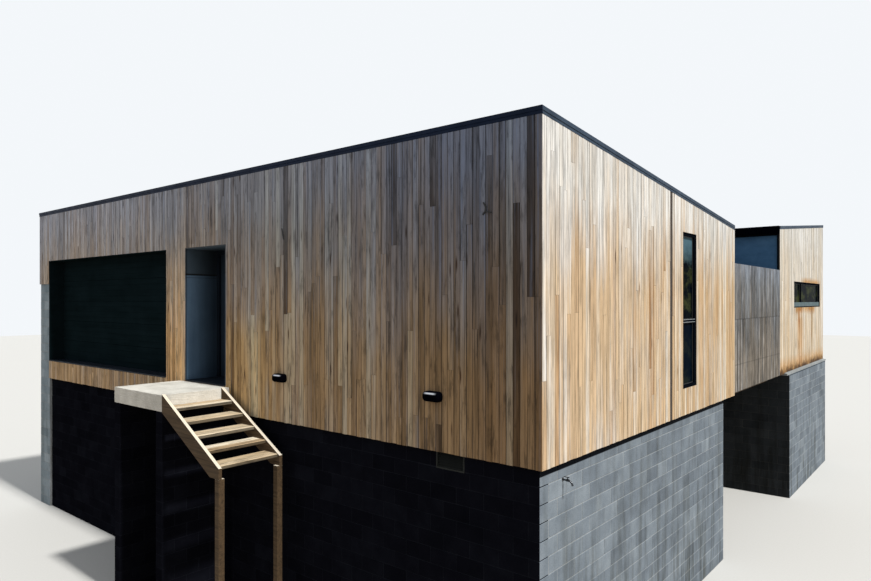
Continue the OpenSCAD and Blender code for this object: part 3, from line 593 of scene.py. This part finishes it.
# Near-black blocks and mortar for the front wall and the landing walls: their darkness is partly painted
# shade.
dark_block = masonry("near_black_block", (12, 13, 19), (18, 19, 26), (26, 28, 36), units=True, specular=0.0)
dark_mortar = masonry("near_black_mortar", (22, 24, 31), (34, 36, 44), specular=0.0)
concrete = masonry("landing_concrete", (200, 198, 190), (234, 232, 224), depth=0.001)
plaster = masonry("plaster", (196, 193, 186), (210, 208, 202), pores=160, depth=0.0004)

# Metal, panels and seals

# The capping's front faces carry painted shade.
capping_metal = coated("capping_metal", (42, 55, 70), (60, 76, 95), 0.5, specular=0.1,
                       painted_front_shade=(0.05, 0.14, 0.3, 1.0))
gutter_metal = coated("gutter_metal", (1, 2, 8), (3, 4, 13), 0.7, specular=0.0)
frame_metal = coated("frame_metal", (8, 12, 18), (16, 22, 30), 0.6, specular=0.0)
roof_metal = coated("roof_metal", (74, 80, 88), (98, 104, 112), 0.5, drips=(6, 0.6, 6))
ledge_metal = coated("ledge_metal", (116, 122, 124), (146, 153, 156), 0.5, drips=(9, 9, 0.9))
sill_metal = coated("sill_metal", (62, 80, 86), (88, 108, 112), 0.5, drips=(20, 20, 3), specular=0.1)
entry_low, entry_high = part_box("entry_lining")
LINING_JOINT = entry_high.z - 0.461
# The entry lining: painted light and shade deeper into the recess.
slate_panel = coated(
    "slate_panel", (71, 92, 113), (99, 124, 149), 0.5, specular=0.2,
    above=(LINING_JOINT, tones((56, 68, 79), (74, 88, 100))),
    painted_recess_shade=(FRONT, entry_high.y, greys((0.02, 0.4), (0.05, 1.5), (0.24, 1.25), (0.42, 1.0), (0.51, 0.8),
                                       (0.6, 0.66), (0.78, 0.42), (0.9, 0.3))))
# The door's tones are darker than the lining's, partly as painted shade of the recess.
door_panel = coated("door_panel", (29, 37, 47), (40, 51, 63), 0.5, specular=0.1)
jamb_panel = coated("jamb_panel", (15, 21, 29), (24, 31, 41), 0.5, specular=0.1)
garage_panel = coated("garage_panel", (14, 24, 27), (24, 37, 42), 0.65, drips=(0.7, 5, 9), specular=0.0)
# The wall lights' hoods carry a painted highlight.
light_metal = coated("light_metal", (3, 3, 8), (7, 7, 13), 0.3, specular=0.0, painted_highlight=solids("wall_lights"))
vent_metal = coated("vent_metal", (36, 38, 37), (50, 52, 50), 0.6, specular=0.1)
steel = coated("brushed_steel", (150, 152, 156), (186, 188, 192), 0.32, 0.9, drips=(2, 2, 60))
tap_metal = coated("tap_metal", (52, 53, 55), (84, 85, 88), 0.24, 1.0, scale=9.0)
strip_metal = coated("strip_metal", (64, 57, 52), (79, 71, 63), 0.5, specular=0.1)
rubber = coated("black_seal", (10, 11, 12), (20, 21, 22), 0.65)

# Glass

slim_panes = [box for box in solids("window_glass") if box[1].z - box[0].z > 0.7]
SLIM_HEAD = max(high.z for low, high in slim_panes)
SLIM_BAR = min(high.z for low, high in slim_panes)
window_glass = glazing("window_glass", tones((2, 8, 20), (13, 20, 21), (56, 62, 38), at=(0.36, 0.48, 0.6)),
                       1.015, painted_sky=(SLIM_HEAD - 0.5, SLIM_HEAD - 0.12, srgb(82, 112, 126)))
# The court glass's blue is a painted reflection of the sky.
court_glass = glazing("court_glass", tones((66, 104, 142), (84, 126, 168)), 1.07)

# The nodes that keep their CAD shape, with their materials
DRESSED = (
    (wall_core, "front_wall_right front_wall_between front_wall_head front_wall_base front_wall_left"),
    (wall_core, "right_wall left_wall rear_wall wing_right_wall wing_left_wall wing_rear_wall"),
    (floor_timber, "main_floor wing_floor"), (bearer_timber, "court_bearers court_deck"),
    (roof_metal, "main_roof wing_roof"), (dark_mortar, "front_block_wall"),
    (mortar, "right_block_wall left_block_wall rear_block_wall wing_block_walls"),
    (ledge_metal, "wing_ledge"), (plaster, "entry_walls"), (slate_panel, "entry_lining"),
    (door_panel, "front_door"), (jamb_panel, "door_frame"), (steel, "door_hinges door_handle"),
    (garage_panel, "garage_lining garage_door"), (frame_metal, "wing_glass_frame window_frames"),
    (court_glass, "wing_glass"), (window_glass, "window_glass"), (capping_metal, "roof_cappings"),
    (gutter_metal, "roof_gutters"), (vent_metal, "vent"), (tap_metal, "garden_tap"),
    (string_timber, "stair_frame"))
for material, nodes in DRESSED:
    for node in nodes.split():
        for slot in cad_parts[node].material_slots:
            slot.material = material

# Shapes

EVEN = (0.5, 0.5, 0.5, 1.0)


def within(value):
    return min(1.0, max(0.0, value))


def present(mesh, name, material, body, replaces):
    """The mesh as a piece: its look, the body that it rides and the nodes it stands for."""
    mesh.materials.append(material)
    made = linked(name, mesh)
    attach(made, body)
    if replaces:
        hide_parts(*replaces)


class Shape:
    """Collects the solids of one piece, each with its own random tone."""

    def __init__(self, seed):
        self.points = []
        self.faces = []
        self.tones = []
        self.random = random.Random(seed)

    def tone(self):
        draw = self.random
        return (within(draw.gauss(0.5, 0.24)), draw.random(), draw.random(), 1.0)

    def board_tone(self, column, warmth):
        """Most boards follow their column; a few are much darker or paler."""
        draw = self.random
        tone, chance = draw.gauss(column, 0.12), draw.random()
        if chance < 0.06:
            tone = draw.uniform(0.14, 0.28)
        elif chance > 0.95:
            tone = draw.uniform(0.85, 1.0)
        return (within(tone), within(draw.gauss(warmth, 0.1)), draw.random(), 1.0)

    def rings(self, rings, tone):
        """A closed solid through rings with the same number of points."""
        first, count = len(self.points), len(rings[0])
        self.points += [tuple(point) for ring in rings for point in ring]
        last = len(self.points) - count
        faces = [tuple(range(first, first + count))[::-1]]
        for start in range(first, last, count):
            for i in range(count):
                j = (i + 1) % count
                faces.append((start + i, start + j, start + count + j, start + count + i))
        faces.append(tuple(range(last, last + count)))
        self.faces += faces
        self.tones += [tone] * len(faces)

    def box(self, corner, opposite, tone, bevel=0.0):
        """A box between two corners, with its upright edges and its two ends bevelled."""
        x0, y0, z0 = map(min, corner, opposite)
        x1, y1, z1 = map(max, corner, opposite)
        b = bevel

        def ring(z, inset):
            w, s, e, n = x0 + inset, y0 + inset, x1 - inset, y1 - inset
            if not bevel:
                return [(w, s, z), (e, s, z), (e, n, z), (w, n, z)]
            return [(w + b, s, z), (e - b, s, z), (e, s + b, z), (e, n - b, z),
                    (e - b, n, z), (w + b, n, z), (w, n - b, z), (w, s + b, z)]

        if bevel:
            self.rings([ring(z0, b), ring(z0 + b, 0), ring(z1 - b, 0), ring(z1, b)], tone)
        else:
            self.rings([ring(z0, 0), ring(z1, 0)], tone)

    def piece(self, name, material, slot, body="house", replaces=()):
        mesh = bpy.data.meshes.new(name)
        mesh.from_pydata(self.points, [], self.faces)
        shell = bmesh.new()
        shell.from_mesh(mesh)
        bmesh.ops.recalc_face_normals(shell, faces=shell.faces)
        shell.to_mesh(mesh)
        shell.free()
        colours = mesh.color_attributes.new("board", "FLOAT_COLOR", "CORNER")
        flat = []
        for polygon, tone in zip(mesh.polygons, self.tones):
            flat.extend(tone * polygon.loop_total)
        colours.data.foreach_set("color", flat)
        present(mesh, name, material, body, replaces)


# How far the frames of the windows in a side may reach into the wall
WALL_REACH = 0.16


class Face:
    """A flat side of the house: u runs along it, v up it and w out of it."""

    def __init__(self, origin, along, up, out):
        self.origin, self.along, self.up, self.out = Vector(origin), along, up, out

    def at(self, u, v, w):
        return self.origin + self.along * u + self.up * v + self.out * w

    def holes(self, boxes):
        """The boxes that lie in this side, as rectangles in u and v."""
        found = []
        for box in boxes:
            ends = [corner - self.origin for corner in box]
            if max(abs(end.dot(self.out)) for end in ends) > WALL_REACH:
                continue
            u = sorted(end.dot(self.along) for end in ends)
            v = sorted(end.dot(self.up) for end in ends)
            found.append((*u, *v))
        return found


def upright(out, x, y):
    """The upright side that looks out this way and starts at a place in plan."""
    return Face((x, y, 0), Y if out.x else X, Z, out)


def clear_parts(rectangle, holes):
    """What is left of a rectangle (u0, u1, v0, v1) outside the holes."""
    parts = [rectangle]
    for a, b, c, d in holes:
        left = []
        for u0, u1, v0, v1 in parts:
            if b <= u0 or a >= u1 or d <= v0 or c >= v1:
                left.append((u0, u1, v0, v1))
                continue
            if c > v0:
                left.append((u0, u1, v0, c))
            if d < v1:
                left.append((u0, u1, d, v1))
            low, high = max(v0, c), min(v1, d)
            if a > u0:
                left.append((u0, a, low, high))
            if b < u1:
                left.append((b, u1, low, high))
        parts = left
    return [p for p in parts if p[1] - p[0] > 0.006 and p[3] - p[2] > 0.01]


COVER = 0.092
GROOVES = (0.002, 0.003, 0.004, 0.006, 0.009)
PROUD = 0.006
ARRIS = 0.002
SIDE_GAP = 0.002
BUTT = 0.002
SHORTEST = 0.25


def board(shape, face, part, top, depth, tone, back=0.0):
    """One board with eased edges; its upper end may follow a slope."""
    u0, u1, v0, v1 = part
    u0, u1 = u0 + shape.random.choice(GROOVES), u1 - SIDE_GAP
    profile = [(u0, back), (u0, depth - ARRIS), (u0 + ARRIS, depth), (u1 - ARRIS, depth),
               (u1, depth - ARRIS), (u1, back)]
    low = [face.at(u, v0, w) for u, w in profile]
    high = [face.at(u, min(v1, top(u)), w) for u, w in profile]
    shape.rings([low, high], tone)


def clad(shape, face, length, bottom, top, holes=(), cover=COVER, depth=PROUD, lengths=(1.8, 5.4),
         start=0.0, back=0.0, ragged=0.003, seams=None, known=None):
    """Boards side by side, in random lengths with butt joints, or with the known ends and tones."""
    draw = shape.random
    count = max(1, round((length - start) / cover))
    cover = (length - start) / count
    for i in range(count):
        u0 = start + i * cover
        u1 = u0 + cover
        highest = max(top(u0), top(u1))
        column, warmth = draw.gauss(0.52, 0.15), draw.random()
        v = bottom - draw.uniform(0.2, lengths[1] - 0.4)
        stops = list(seams) if seams else []
        while not seams and v < highest:
            v += draw.uniform(*lengths)
            stops.append(v)
        planned = known.get(count - 1 - i) if known else None
        if planned:
            stops = [planned[0]]
        stops = [stop for stop in stops if bottom + SHORTEST < stop < highest - SHORTEST]
        foot = bottom + draw.uniform(-ragged, ragged)
        for stop in stops + [highest + 0.01]:
            tone = shape.board_tone(column, warmth)
            if planned:
                tone = (planned[1 if stop == planned[0] else 2], 0.1, tone[2], 1.0)
            out = depth + draw.uniform(-0.001, 0.001)
            for part in clear_parts((u0, u1, foot, stop), holes):
                if part[3] >= stop - 0.001:
                    board(shape, face, part, lambda u: min(top(u), stop - BUTT), out, tone, back)
                else:
                    board(shape, face, part, lambda u: part[3], out, tone, back)
            foot = stop


# Cladding

windows = solids("window_frames")
JOINT_DEPTH = 0.008
joint_y = sorted({round(p.y, 4) for p in points_of("right_wall") if abs(RIGHT - JOINT_DEPTH - p.x) < 0.001})
MOVEMENT_JOINT = (joint_y[0] - FRONT, joint_y[-1] - FRONT)
LENGTH = RIGHT - LEFT
MAIN_DEPTH = MAIN_FAR - FRONT
WING_DEPTH = WING_FAR - WING_NEAR
GUTTER_LOW = min(low.z for low, high in solids("roof_gutters"))
garage_low, garage_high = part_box("garage_lining")
ENTRY_HOLE = (entry_low.x - LEFT, entry_high.x - LEFT, entry_low.z, entry_high.z)
GARAGE_HOLE = (garage_low.x - LEFT, garage_high.x - LEFT, garage_low.z, garage_high.z)
PIER_HOLE = (-1.0, GARAGE_HOLE[0], 0.0, PIER_TOP)
JOINT_HOLE = (*MOVEMENT_JOINT, 0.0, 9.0)


def main_edge(u):
    """The end of a board on a side of the main block, under the capping."""
    return main_top(FRONT + u) - MAIN_FOLD


def wing_edge(u):
    return wing_top(WING_NEAR + u) - WING_FOLD


def boards(name, seed, face, look, length, foot, top, holes=(), slot="sunny_timber", **settings):
    """The boards of one side as a piece."""
    shape = Shape(seed)
    clad(shape, face, length, foot, top, holes, **settings)
    shape.piece("boards_" + name, look, slot)


right_face = upright(X, RIGHT, FRONT)
rear_face = upright(Y, LEFT, MAIN_FAR)
wing_right_face = upright(X, RIGHT, WING_NEAR)
wing_left_face = upright(-X, LEFT, WING_NEAR)
wing_rear_face = upright(Y, LEFT, WING_FAR)

# Boards at the front's right corner, counted from the corner: end of the lower one and both tones
CORNER_BOARDS = {0: (4.86, 0.3, 0.3), 1: (4.86, 0.6, 0.06), 3: (5.89, 0.1, 0.6), 6: (5.2, 0.5, 0.4)}

boards("front", 11, upright(-Y, LEFT, FRONT), front_timber, LENGTH + PROUD, BASE, lambda u: main_edge(0.0),
       [ENTRY_HOLE, GARAGE_HOLE, PIER_HOLE], "shaded_timber", start=-PROUD, known=CORNER_BOARDS)
boards("right", 12, right_face, side_timber, MAIN_DEPTH, BASE, main_edge,
       right_face.holes(windows) + [JOINT_HOLE])

shape = Shape(18)
u0, u1 = MOVEMENT_JOINT
LIP, LIP_RISE, LIP_TOP = 0.011, 0.003, 0.004
profile = [(u0, -JOINT_DEPTH), (u0, LIP_TOP), (u0 + LIP, LIP_TOP), (u0 + LIP + LIP_RISE, LIP_TOP - LIP_RISE),
           (u1 - LIP - LIP_RISE, LIP_TOP - LIP_RISE), (u1 - LIP, LIP_TOP), (u1, LIP_TOP), (u1, -JOINT_DEPTH)]
shape.rings([[right_face.at(u, BASE, w) for u, w in profile],
             [right_face.at(u, main_edge(u), w) for u, w in profile]], EVEN)
shape.piece("joint_cover", strip_metal, "black_metal")

SCREEN_DEPTH = 0.16
boards("left", 13, upright(-X, LEFT, FRONT), side_timber, MAIN_DEPTH, PIER_TOP, main_edge)
boards("rear", 14, rear_face, side_timber, LENGTH - SCREEN_DEPTH, BASE, lambda u: GUTTER_LOW - CLEARANCE,
       rear_face.holes(windows), start=SCREEN_DEPTH)
for name, face, seed in (("wing_right", wing_right_face, 15), ("wing_left", wing_left_face, 16)):
    boards(name, seed, face, wing_timber, WING_DEPTH, REAR_BASE, wing_edge, face.holes(windows))
boards("wing_rear", 17, wing_rear_face, wing_timber, LENGTH + PROUD, REAR_BASE,
       lambda u: wing_top(WING_FAR) - WING_FOLD, wing_rear_face.holes(windows), start=-PROUD)

# Court: screens of separate boards on rails and posts, and deck boards

SCREEN_BOARD = 0.02
RAIL_DEPTH, RAIL_HEIGHT = 0.045, 0.09
RAIL_BACK = -SCREEN_BOARD - RAIL_DEPTH
POST = 0.09
POST_DROP = 0.03
SPAN = WING_NEAR - MAIN_FAR
for name, face, seed in (("right", upright(X, RIGHT, MAIN_FAR), 21),
                         ("left", upright(-X, LEFT, MAIN_FAR), 22)):
    shape = Shape(seed)
    clad(shape, face, SPAN, SCREEN_LOW.z, lambda u: SCREEN_HIGH.z, depth=-0.001, back=-SCREEN_BOARD,
         seams=[RAIL_LEVELS[1]], ragged=0.002)
    for level in RAIL_LEVELS:
        shape.box(face.at(CLEARANCE, level - RAIL_HEIGHT / 2, -SCREEN_BOARD),
                  face.at(SPAN - CLEARANCE, level + RAIL_HEIGHT / 2, RAIL_BACK), shape.tone(), 0.003)
    for u in (CLEARANCE, (SPAN - POST) / 2, SPAN - POST - CLEARANCE):
        shape.box(face.at(u, SCREEN_LOW.z, RAIL_BACK),
                  face.at(u + POST, SCREEN_HIGH.z - POST_DROP, RAIL_BACK - POST), shape.tone(), 0.004)
    hidden = ("court_screens",) if name == "right" else ()
    shape.piece("screen_" + name, screen_timber, "grey_timber", replaces=hidden)

deck_low, deck_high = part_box("court_deck")
shape = Shape(23)
deck_face = Face((deck_low.x, deck_low.y + PROUD, deck_high.z), Y, X, Z)
clad(shape, deck_face, deck_high.y - deck_low.y - PROUD, 0.0, lambda u: deck_high.x - deck_low.x, cover=0.14,
     lengths=(2.4, 4.8), ragged=0.0)
shape.piece("deck_boards", deck_timber, "grey_timber")

# Blocks

COURSE = 0.2
BLOCK = 0.4
MORTAR = 0.01
BLOCK_PROUD = 0.004
BLOCK_ARRIS = 0.004
NARROWEST = 0.03


def blocks(shape, face, start, end, top, holes=()):
    """Blocks in running bond from the ground up, standing a little proud of their mortar."""
    r = BLOCK_ARRIS
    for course in range(math.ceil(top / COURSE - 0.01)):
        v0 = course * COURSE
        v1 = min(v0 + COURSE - MORTAR, top - 0.001)
        u = start - (BLOCK / 2 if course % 2 else 0.0)
        while u < end:
            tone = shape.tone()
            u0, u1 = max(u, start), min(u + BLOCK - MORTAR, end)
            u += BLOCK
            if u1 - u0 < NARROWEST:
                continue
            depth = BLOCK_PROUD + shape.random.uniform(-0.001, 0.001)
            for a, b, c, d in clear_parts((u0, u1, v0, v1), holes):
                inner = [(a + r, c + r), (b - r, c + r), (b - r, d - r), (a + r, d - r)]
                outer = [(a, c), (b, c), (b, d), (a, d)]
                shape.rings([[face.at(p, q, 0.0) for p, q in outer],
                             [face.at(p, q, depth - r * 0.7) for p, q in outer],
                             [face.at(p, q, depth) for p, q in inner]], tone)


def block_sides(shape, low, high, reach=0.0):
    """Blocks on the near side of a wall and on its two flanks."""
    deep = high.y - low.y
    blocks(shape, upright(-Y, low.x, low.y), -reach, high.x - low.x + reach, high.z)
    blocks(shape, upright(X, high.x, low.y), 0.0, deep, high.z)
    blocks(shape, upright(-X, low.x, low.y), 0.0, deep, high.z)


low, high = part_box("front_block_wall")
vent_low, vent_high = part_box("vent")
side_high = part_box("right_block_wall")[1]
shape = Shape(31)
vent_hole = (vent_low.x - low.x, vent_high.x - low.x, vent_low.z, vent_high.z + 0.02)
blocks(shape, upright(-Y, low.x, low.y), 0.0, high.x - low.x + BLOCK_PROUD, high.z, [vent_hole])
shape.piece("blocks_front", dark_block, "concrete_block")

shape = Shape(32)
blocks(shape, upright(X, high.x, low.y), 0.0, side_high.y - low.y, high.z)
shape.piece("blocks_right", block_face, "concrete_block")

shape = Shape(33)
low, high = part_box("rear_block_wall")
blocks(shape, upright(Y, low.x, high.y), 0.0, side_high.x - low.x, high.z)
shape.piece("blocks_rear", block_face, "concrete_block")

shape = Shape(34)
BEHIND = 0.5
pier, flank = sorted(solids("left_block_wall"), key=lambda box: box[0].y)
low, high = flank
blocks(shape, upright(-Y, pier[0].x, pier[0].y), -BLOCK_PROUD, pier[1].x - pier[0].x, pier[1].z)
blocks(shape, upright(-X, pier[0].x, pier[0].y), 0.0, high.y - pier[0].y, high.z)
blocks(shape, upright(Y, low.x, high.y), -BLOCK_PROUD, high.x - low.x, high.z)
blocks(shape, upright(X, high.x, MAIN_FAR - BEHIND), 0.05, high.y - MAIN_FAR + BEHIND, BASE)
shape.piece("blocks_left", pier_block, "concrete_block")

shape = Shape(35)
low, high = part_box("wing_block_walls")
block_sides(shape, low, high, BLOCK_PROUD)
blocks(shape, upright(Y, low.x, high.y), -BLOCK_PROUD, high.x - low.x + BLOCK_PROUD, high.z)
shape.piece("blocks_wing", block_face, "concrete_block")

shape = Shape(36)
core = Shape(37)
CORE_INSET = 0.006
for low, high in solids("landing_walls"):
    low = low + Vector((CORE_INSET, CORE_INSET, 0))
    high = high - Vector((CORE_INSET, 0, 0))
    core.box(low, high, EVEN)
    block_sides(shape, low, high)
shape.piece("blocks_landing", dark_block, "concrete_block")
core.piece("landing_wall_cores", dark_mortar, "concrete_block", replaces=("landing_walls",))

# Ledge flashing over the wing's block walls

shape = Shape(41)
LEDGE_RISE = 0.02
LEDGE_EDGE = 0.004
ledge_low, ledge_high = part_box("wing_ledge")
for face, start, end, reach in (
        (wing_right_face, ledge_low.y - WING_NEAR, WING_DEPTH, ledge_high.x - RIGHT),
        (wing_left_face, ledge_low.y - WING_NEAR, WING_DEPTH, LEFT - ledge_low.x),
        (wing_rear_face, 0.0, LENGTH, ledge_high.y - WING_FAR)):
    near, far, level = PROUD + CLEARANCE, reach - 0.001, ledge_high.z
    profile = [(near, level), (near, level + LEDGE_RISE), (near + LEDGE_EDGE, level + LEDGE_RISE),
               (far, level + LEDGE_EDGE), (far, level)]
    shape.rings([[face.at(u, v, w) for w, v in profile] for u in (start, end)], EVEN)
shape.piece("ledge_flashing", ledge_metal, "ledge_metal")

# Windows: glazing beads, sills of the strip windows and trims on the slim windows' bars

beads, trims, sills = Shape(51), Shape(53), Shape(54)
BEAD = 0.012
TRIM = 0.009
for low, high in windows:
    size = high - low
    out = (X if low.x > 0 else -X) if size.x < size.y else Y
    face = upright(out, high.x if out.x > 0 else low.x, high.y if out.y > 0 else low.y)
    length = size.dot(face.along)
    panes = [box for box in solids("window_glass")
             if all(box[0][i] > low[i] - 0.01 and box[1][i] < high[i] + 0.01 for i in range(3))]
    for pane in panes:
        (u0, u1, v0, v1), = face.holes([pane])
        depth = max(corner.dot(out) for corner in pane) - face.origin.dot(out) + 0.001
        for a, b, c, d in ((u0, u1, v0, v0 + BEAD), (u0, u1, v1 - BEAD, v1),
                           (u0, u0 + BEAD, v0 + BEAD, v1 - BEAD), (u1 - BEAD, u1, v0 + BEAD, v1 - BEAD)):
            beads.box(face.at(a, c, depth), face.at(b, d, depth + BEAD), EVEN, 0.002)
    if size.z < 1.0:
        sills.box(face.at(0.02, low.z + 0.024, depth), face.at(length - 0.05, low.z + 0.135, 0.002),
                  EVEN, 0.003)
    else:
        lower, upper = sorted(panes, key=lambda box: box[0].z)[:2]
        # Pale trims along the edges of the slim windows' bars: painted highlights on a black bar.
        for level in (lower[1].z, upper[0].z - TRIM):
            trims.box(face.at(0.03, level, 0.0), face.at(length - 0.03, level + TRIM, 0.004), EVEN, 0.001)
beads.piece("glazing_beads", rubber, "black_metal")
trims.piece("transom_trims", ledge_metal, "black_metal")
sills.piece("strip_sills", sill_metal, "ledge_metal")

# Pieces worked from a block


def cube(low, high):
    shell = bmesh.new()
    bmesh.ops.create_cube(shell, size=1.0)
    for vertex in shell.verts:
        vertex.co = Vector([high[i] if vertex.co[i] > 0 else low[i] for i in range(3)])
    return shell


def finished(shell, name, material, replaces=(), smooth=True):
    bmesh.ops.recalc_face_normals(shell, faces=shell.faces)
    mesh = bpy.data.meshes.new(name)
    shell.to_mesh(mesh)
    shell.free()
    if smooth:
        mesh.polygons.foreach_set("use_smooth", [True] * len(mesh.polygons))
    present(mesh, name, material, "house", replaces)


# Wall lights: hoods with rounded edges, apart from those against the wall

HOOD_RADIUS = 0.048
for index, (low, high) in enumerate(solids("wall_lights")):
    size = high - low
    half = Vector((size.x, size.y - PROUD, size.z)) / 2
    hood = cube(-half, half)
    rounded = [edge for edge in hood.edges if any(v.co.y < 0 for v in edge.verts)]
    bmesh.ops.bevel(hood, geom=rounded, offset=HOOD_RADIUS, segments=7, profile=0.5, affect="EDGES")
    bmesh.ops.translate(hood, verts=hood.verts, vec=(low + high) / 2 - Y * PROUD / 2)
    hidden = ("wall_lights",) if index == 0 else ()
    finished(hood, "light_hood_" + str(index + 1), light_metal, replaces=hidden)

# Two small bent wire fixings on the front boards: their bends as distances from the corner and heights

shape = Shape(64)
WIRE = 0.007
FOOT = 0.008
STANDS = FRONT - 0.014
BENDS = (((-0.751, 5.935), (-0.719, 5.881), (-0.721, 5.827), (-0.758, 5.799)),
         ((-0.721, 5.827), (-0.648, 5.814)), ((-4.429, 5.892), (-4.417, 5.843), (-4.384, 5.728)))
for bends in BENDS:
    points = [Vector((RIGHT + x, STANDS, z)) for x, z in bends]
    for start, end in zip(points, points[1:]):
        a, b = (end - start).normalized().cross(Y) * WIRE, Y * WIRE
        shape.rings([[p + a + b, p - a + b, p - a - b, p + a - b] for p in (start, end)], EVEN)
    x, z = points[-1].x, points[-1].z
    shape.box((x - FOOT, STANDS, z - FOOT), (x + FOOT, FRONT, z + FOOT), EVEN, 0.002)
shape.piece("wire_fixings", rubber, "black_metal")

# Landing: a cast slab with worn edges

low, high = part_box("landing")
shell = cube(low, high)
bmesh.ops.subdivide_edges(shell, edges=shell.edges[:], cuts=23, use_grid_fill=True)
draw = random.Random(61)
WORN = 0.003
# The side against the house, at the far end of Y, stays flat
for vertex in shell.verts:
    for i in range(3):
        for end, inward in ((low[i], 1), (high[i], -1)):
            if abs(vertex.co[i] - end) < 0.0001 and not (i == 1 and inward == -1):
                vertex.co[i] += inward * draw.uniform(0.0, WORN)
finished(shell, "landing_slab", concrete, replaces=("landing",), smooth=False)

# Stair treads: two rough planks each

shape = Shape(71)
PLANK_GAP = 0.006
for low, high in solids("stair_treads"):
    middle = (low.x + high.x) / 2
    for x0, x1 in ((low.x, middle - PLANK_GAP / 2), (middle + PLANK_GAP / 2, high.x)):
        tone = shape.tone()
        drop = shape.random.uniform(0.0, 0.003)
        shape.box((x0, low.y, low.z), (x1, high.y, high.z - drop), tone, 0.005)
shape.piece("tread_planks", tread_timber, "stair_timber", replaces=("stair_treads",))

# Dark sill plates over the foot of the two openings

shape = Shape(72)
PLATE = 0.006
PLATE_SIDE = 0.019
NOSE = 0.012
FOLD = 0.016
FOLD_DEPTH = 0.003
for low, high, behind in ((entry_low, entry_high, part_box("door_frame")[0].y),
                          (garage_low, garage_high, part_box("garage_door")[0].y)):
    near, far = FRONT - NOSE, behind - 0.001
    profile = [(near, low.z - FOLD), (near, low.z + PLATE), (far, low.z + PLATE), (far, low.z),
               (near + FOLD_DEPTH, low.z), (near + FOLD_DEPTH, low.z - FOLD)]
    shape.rings([[(x, y, z) for y, z in profile] for x in (low.x + PLATE_SIDE, high.x - PLATE_SIDE)], EVEN)
shape.piece("sill_plates", jamb_panel, "dark_panel")

# Strips in the joint of the entry's lining: how far each reaches out of the lining and up from the joint

shape = Shape(82)
PANEL_FACE = entry_low.x + 0.018
for back, front, foot, head in ((-0.006, 0.001, 0.0, 0.01), (0.0, 0.002, -0.06, -0.055)):
    shape.box((PANEL_FACE + back, entry_low.y + 0.002, LINING_JOINT + foot),
              (PANEL_FACE + front, entry_high.y, LINING_JOINT + head), EVEN)
shape.piece("lining_joint", rubber, "dark_panel")

# Front door: two flat panels with a shadow line between them

shape = Shape(81)
low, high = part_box("front_door")
PANEL = 0.004
PANEL_JOINT = low.z + 0.62
EDGE = 0.03
for z0, z1 in ((low.z + EDGE, PANEL_JOINT - 0.004), (PANEL_JOINT + 0.004, high.z - EDGE)):
    shape.box((low.x + EDGE, low.y - PANEL, z0), (high.x - EDGE, low.y, z1), EVEN, 0.0015)
shape.piece("door_panels", door_panel, "dark_panel", body="door")

# Studio: floor, world, lamps and camera


def seen(tree):
    """One for rays that show the studio itself, zero for light that it gives."""
    path = add("LightPath", {}, tree).outputs
    direct = calc("MAXIMUM", path["Is Camera Ray"], path["Is Glossy Ray"])
    return calc("MAXIMUM", direct, path["Is Transmission Ray"])


floor_material, shader, here = blank("studio_floor")
speckle = noise(here, 30.0, 2.0)
pale = ramp(speckle, tones((208, 208, 205), (212, 212, 210)))
join(shader, mix(seen(here.id_data), (0.36, 0.31, 0.25, 1.0), pale),
     fade(speckle, 0.3, 0.7, 0.95, 0.85), {SPECULAR: 0.1})
shell = bmesh.new()
bmesh.ops.create_grid(shell, x_segments=1, y_segments=1, size=90)
mesh = bpy.data.meshes.new("studio_floor")
shell.to_mesh(mesh)
shell.free()
mesh.materials.append(floor_material)
ground = linked("studio_floor", mesh)
ground.location.z = -0.002

world = bpy.data.worlds.new("studio")
scene.world = world
world.use_nodes = True
tree = world.node_tree
background = tree.nodes["Background"]
background.inputs["Color"].default_value = (0.93, 0.96, 1.0, 1.0)
background.inputs["Strength"].default_value = 0.5
shown = add("Background", {"Color": (0.9, 0.93, 0.96, 1.0), "Strength": 1.0}, tree)
both = add("MixShader", {0: seen(tree), 1: background.outputs[0], 2: shown.outputs[0]})
tree.links.new(both.outputs[0], tree.nodes["World Output"].inputs[0])

sun = bpy.data.lights.new("key", "SUN")
sun.energy = 3.5
sun.angle = math.radians(4)
sun.color = (1.0, 0.975, 0.93)
lamp = linked("key", sun)
lamp.rotation_euler = Vector((-1.0, 0.0, -1.3)).to_track_quat("-Z", "Y").to_euler()

camera = bpy.data.cameras.new("camera")
camera.lens = 27.155
camera.sensor_width = 36
camera.shift_y = 0.0109
camera.clip_end = 400
view = linked("camera", camera)
view.location = (RIGHT + 3.579, FRONT - 6.121, 4.825)
view.rotation_euler = Vector((-0.636, 0.7716, 0)).to_track_quat("-Z", "Y").to_euler()
scene.camera = view
scene.view_settings.view_transform = "Standard"
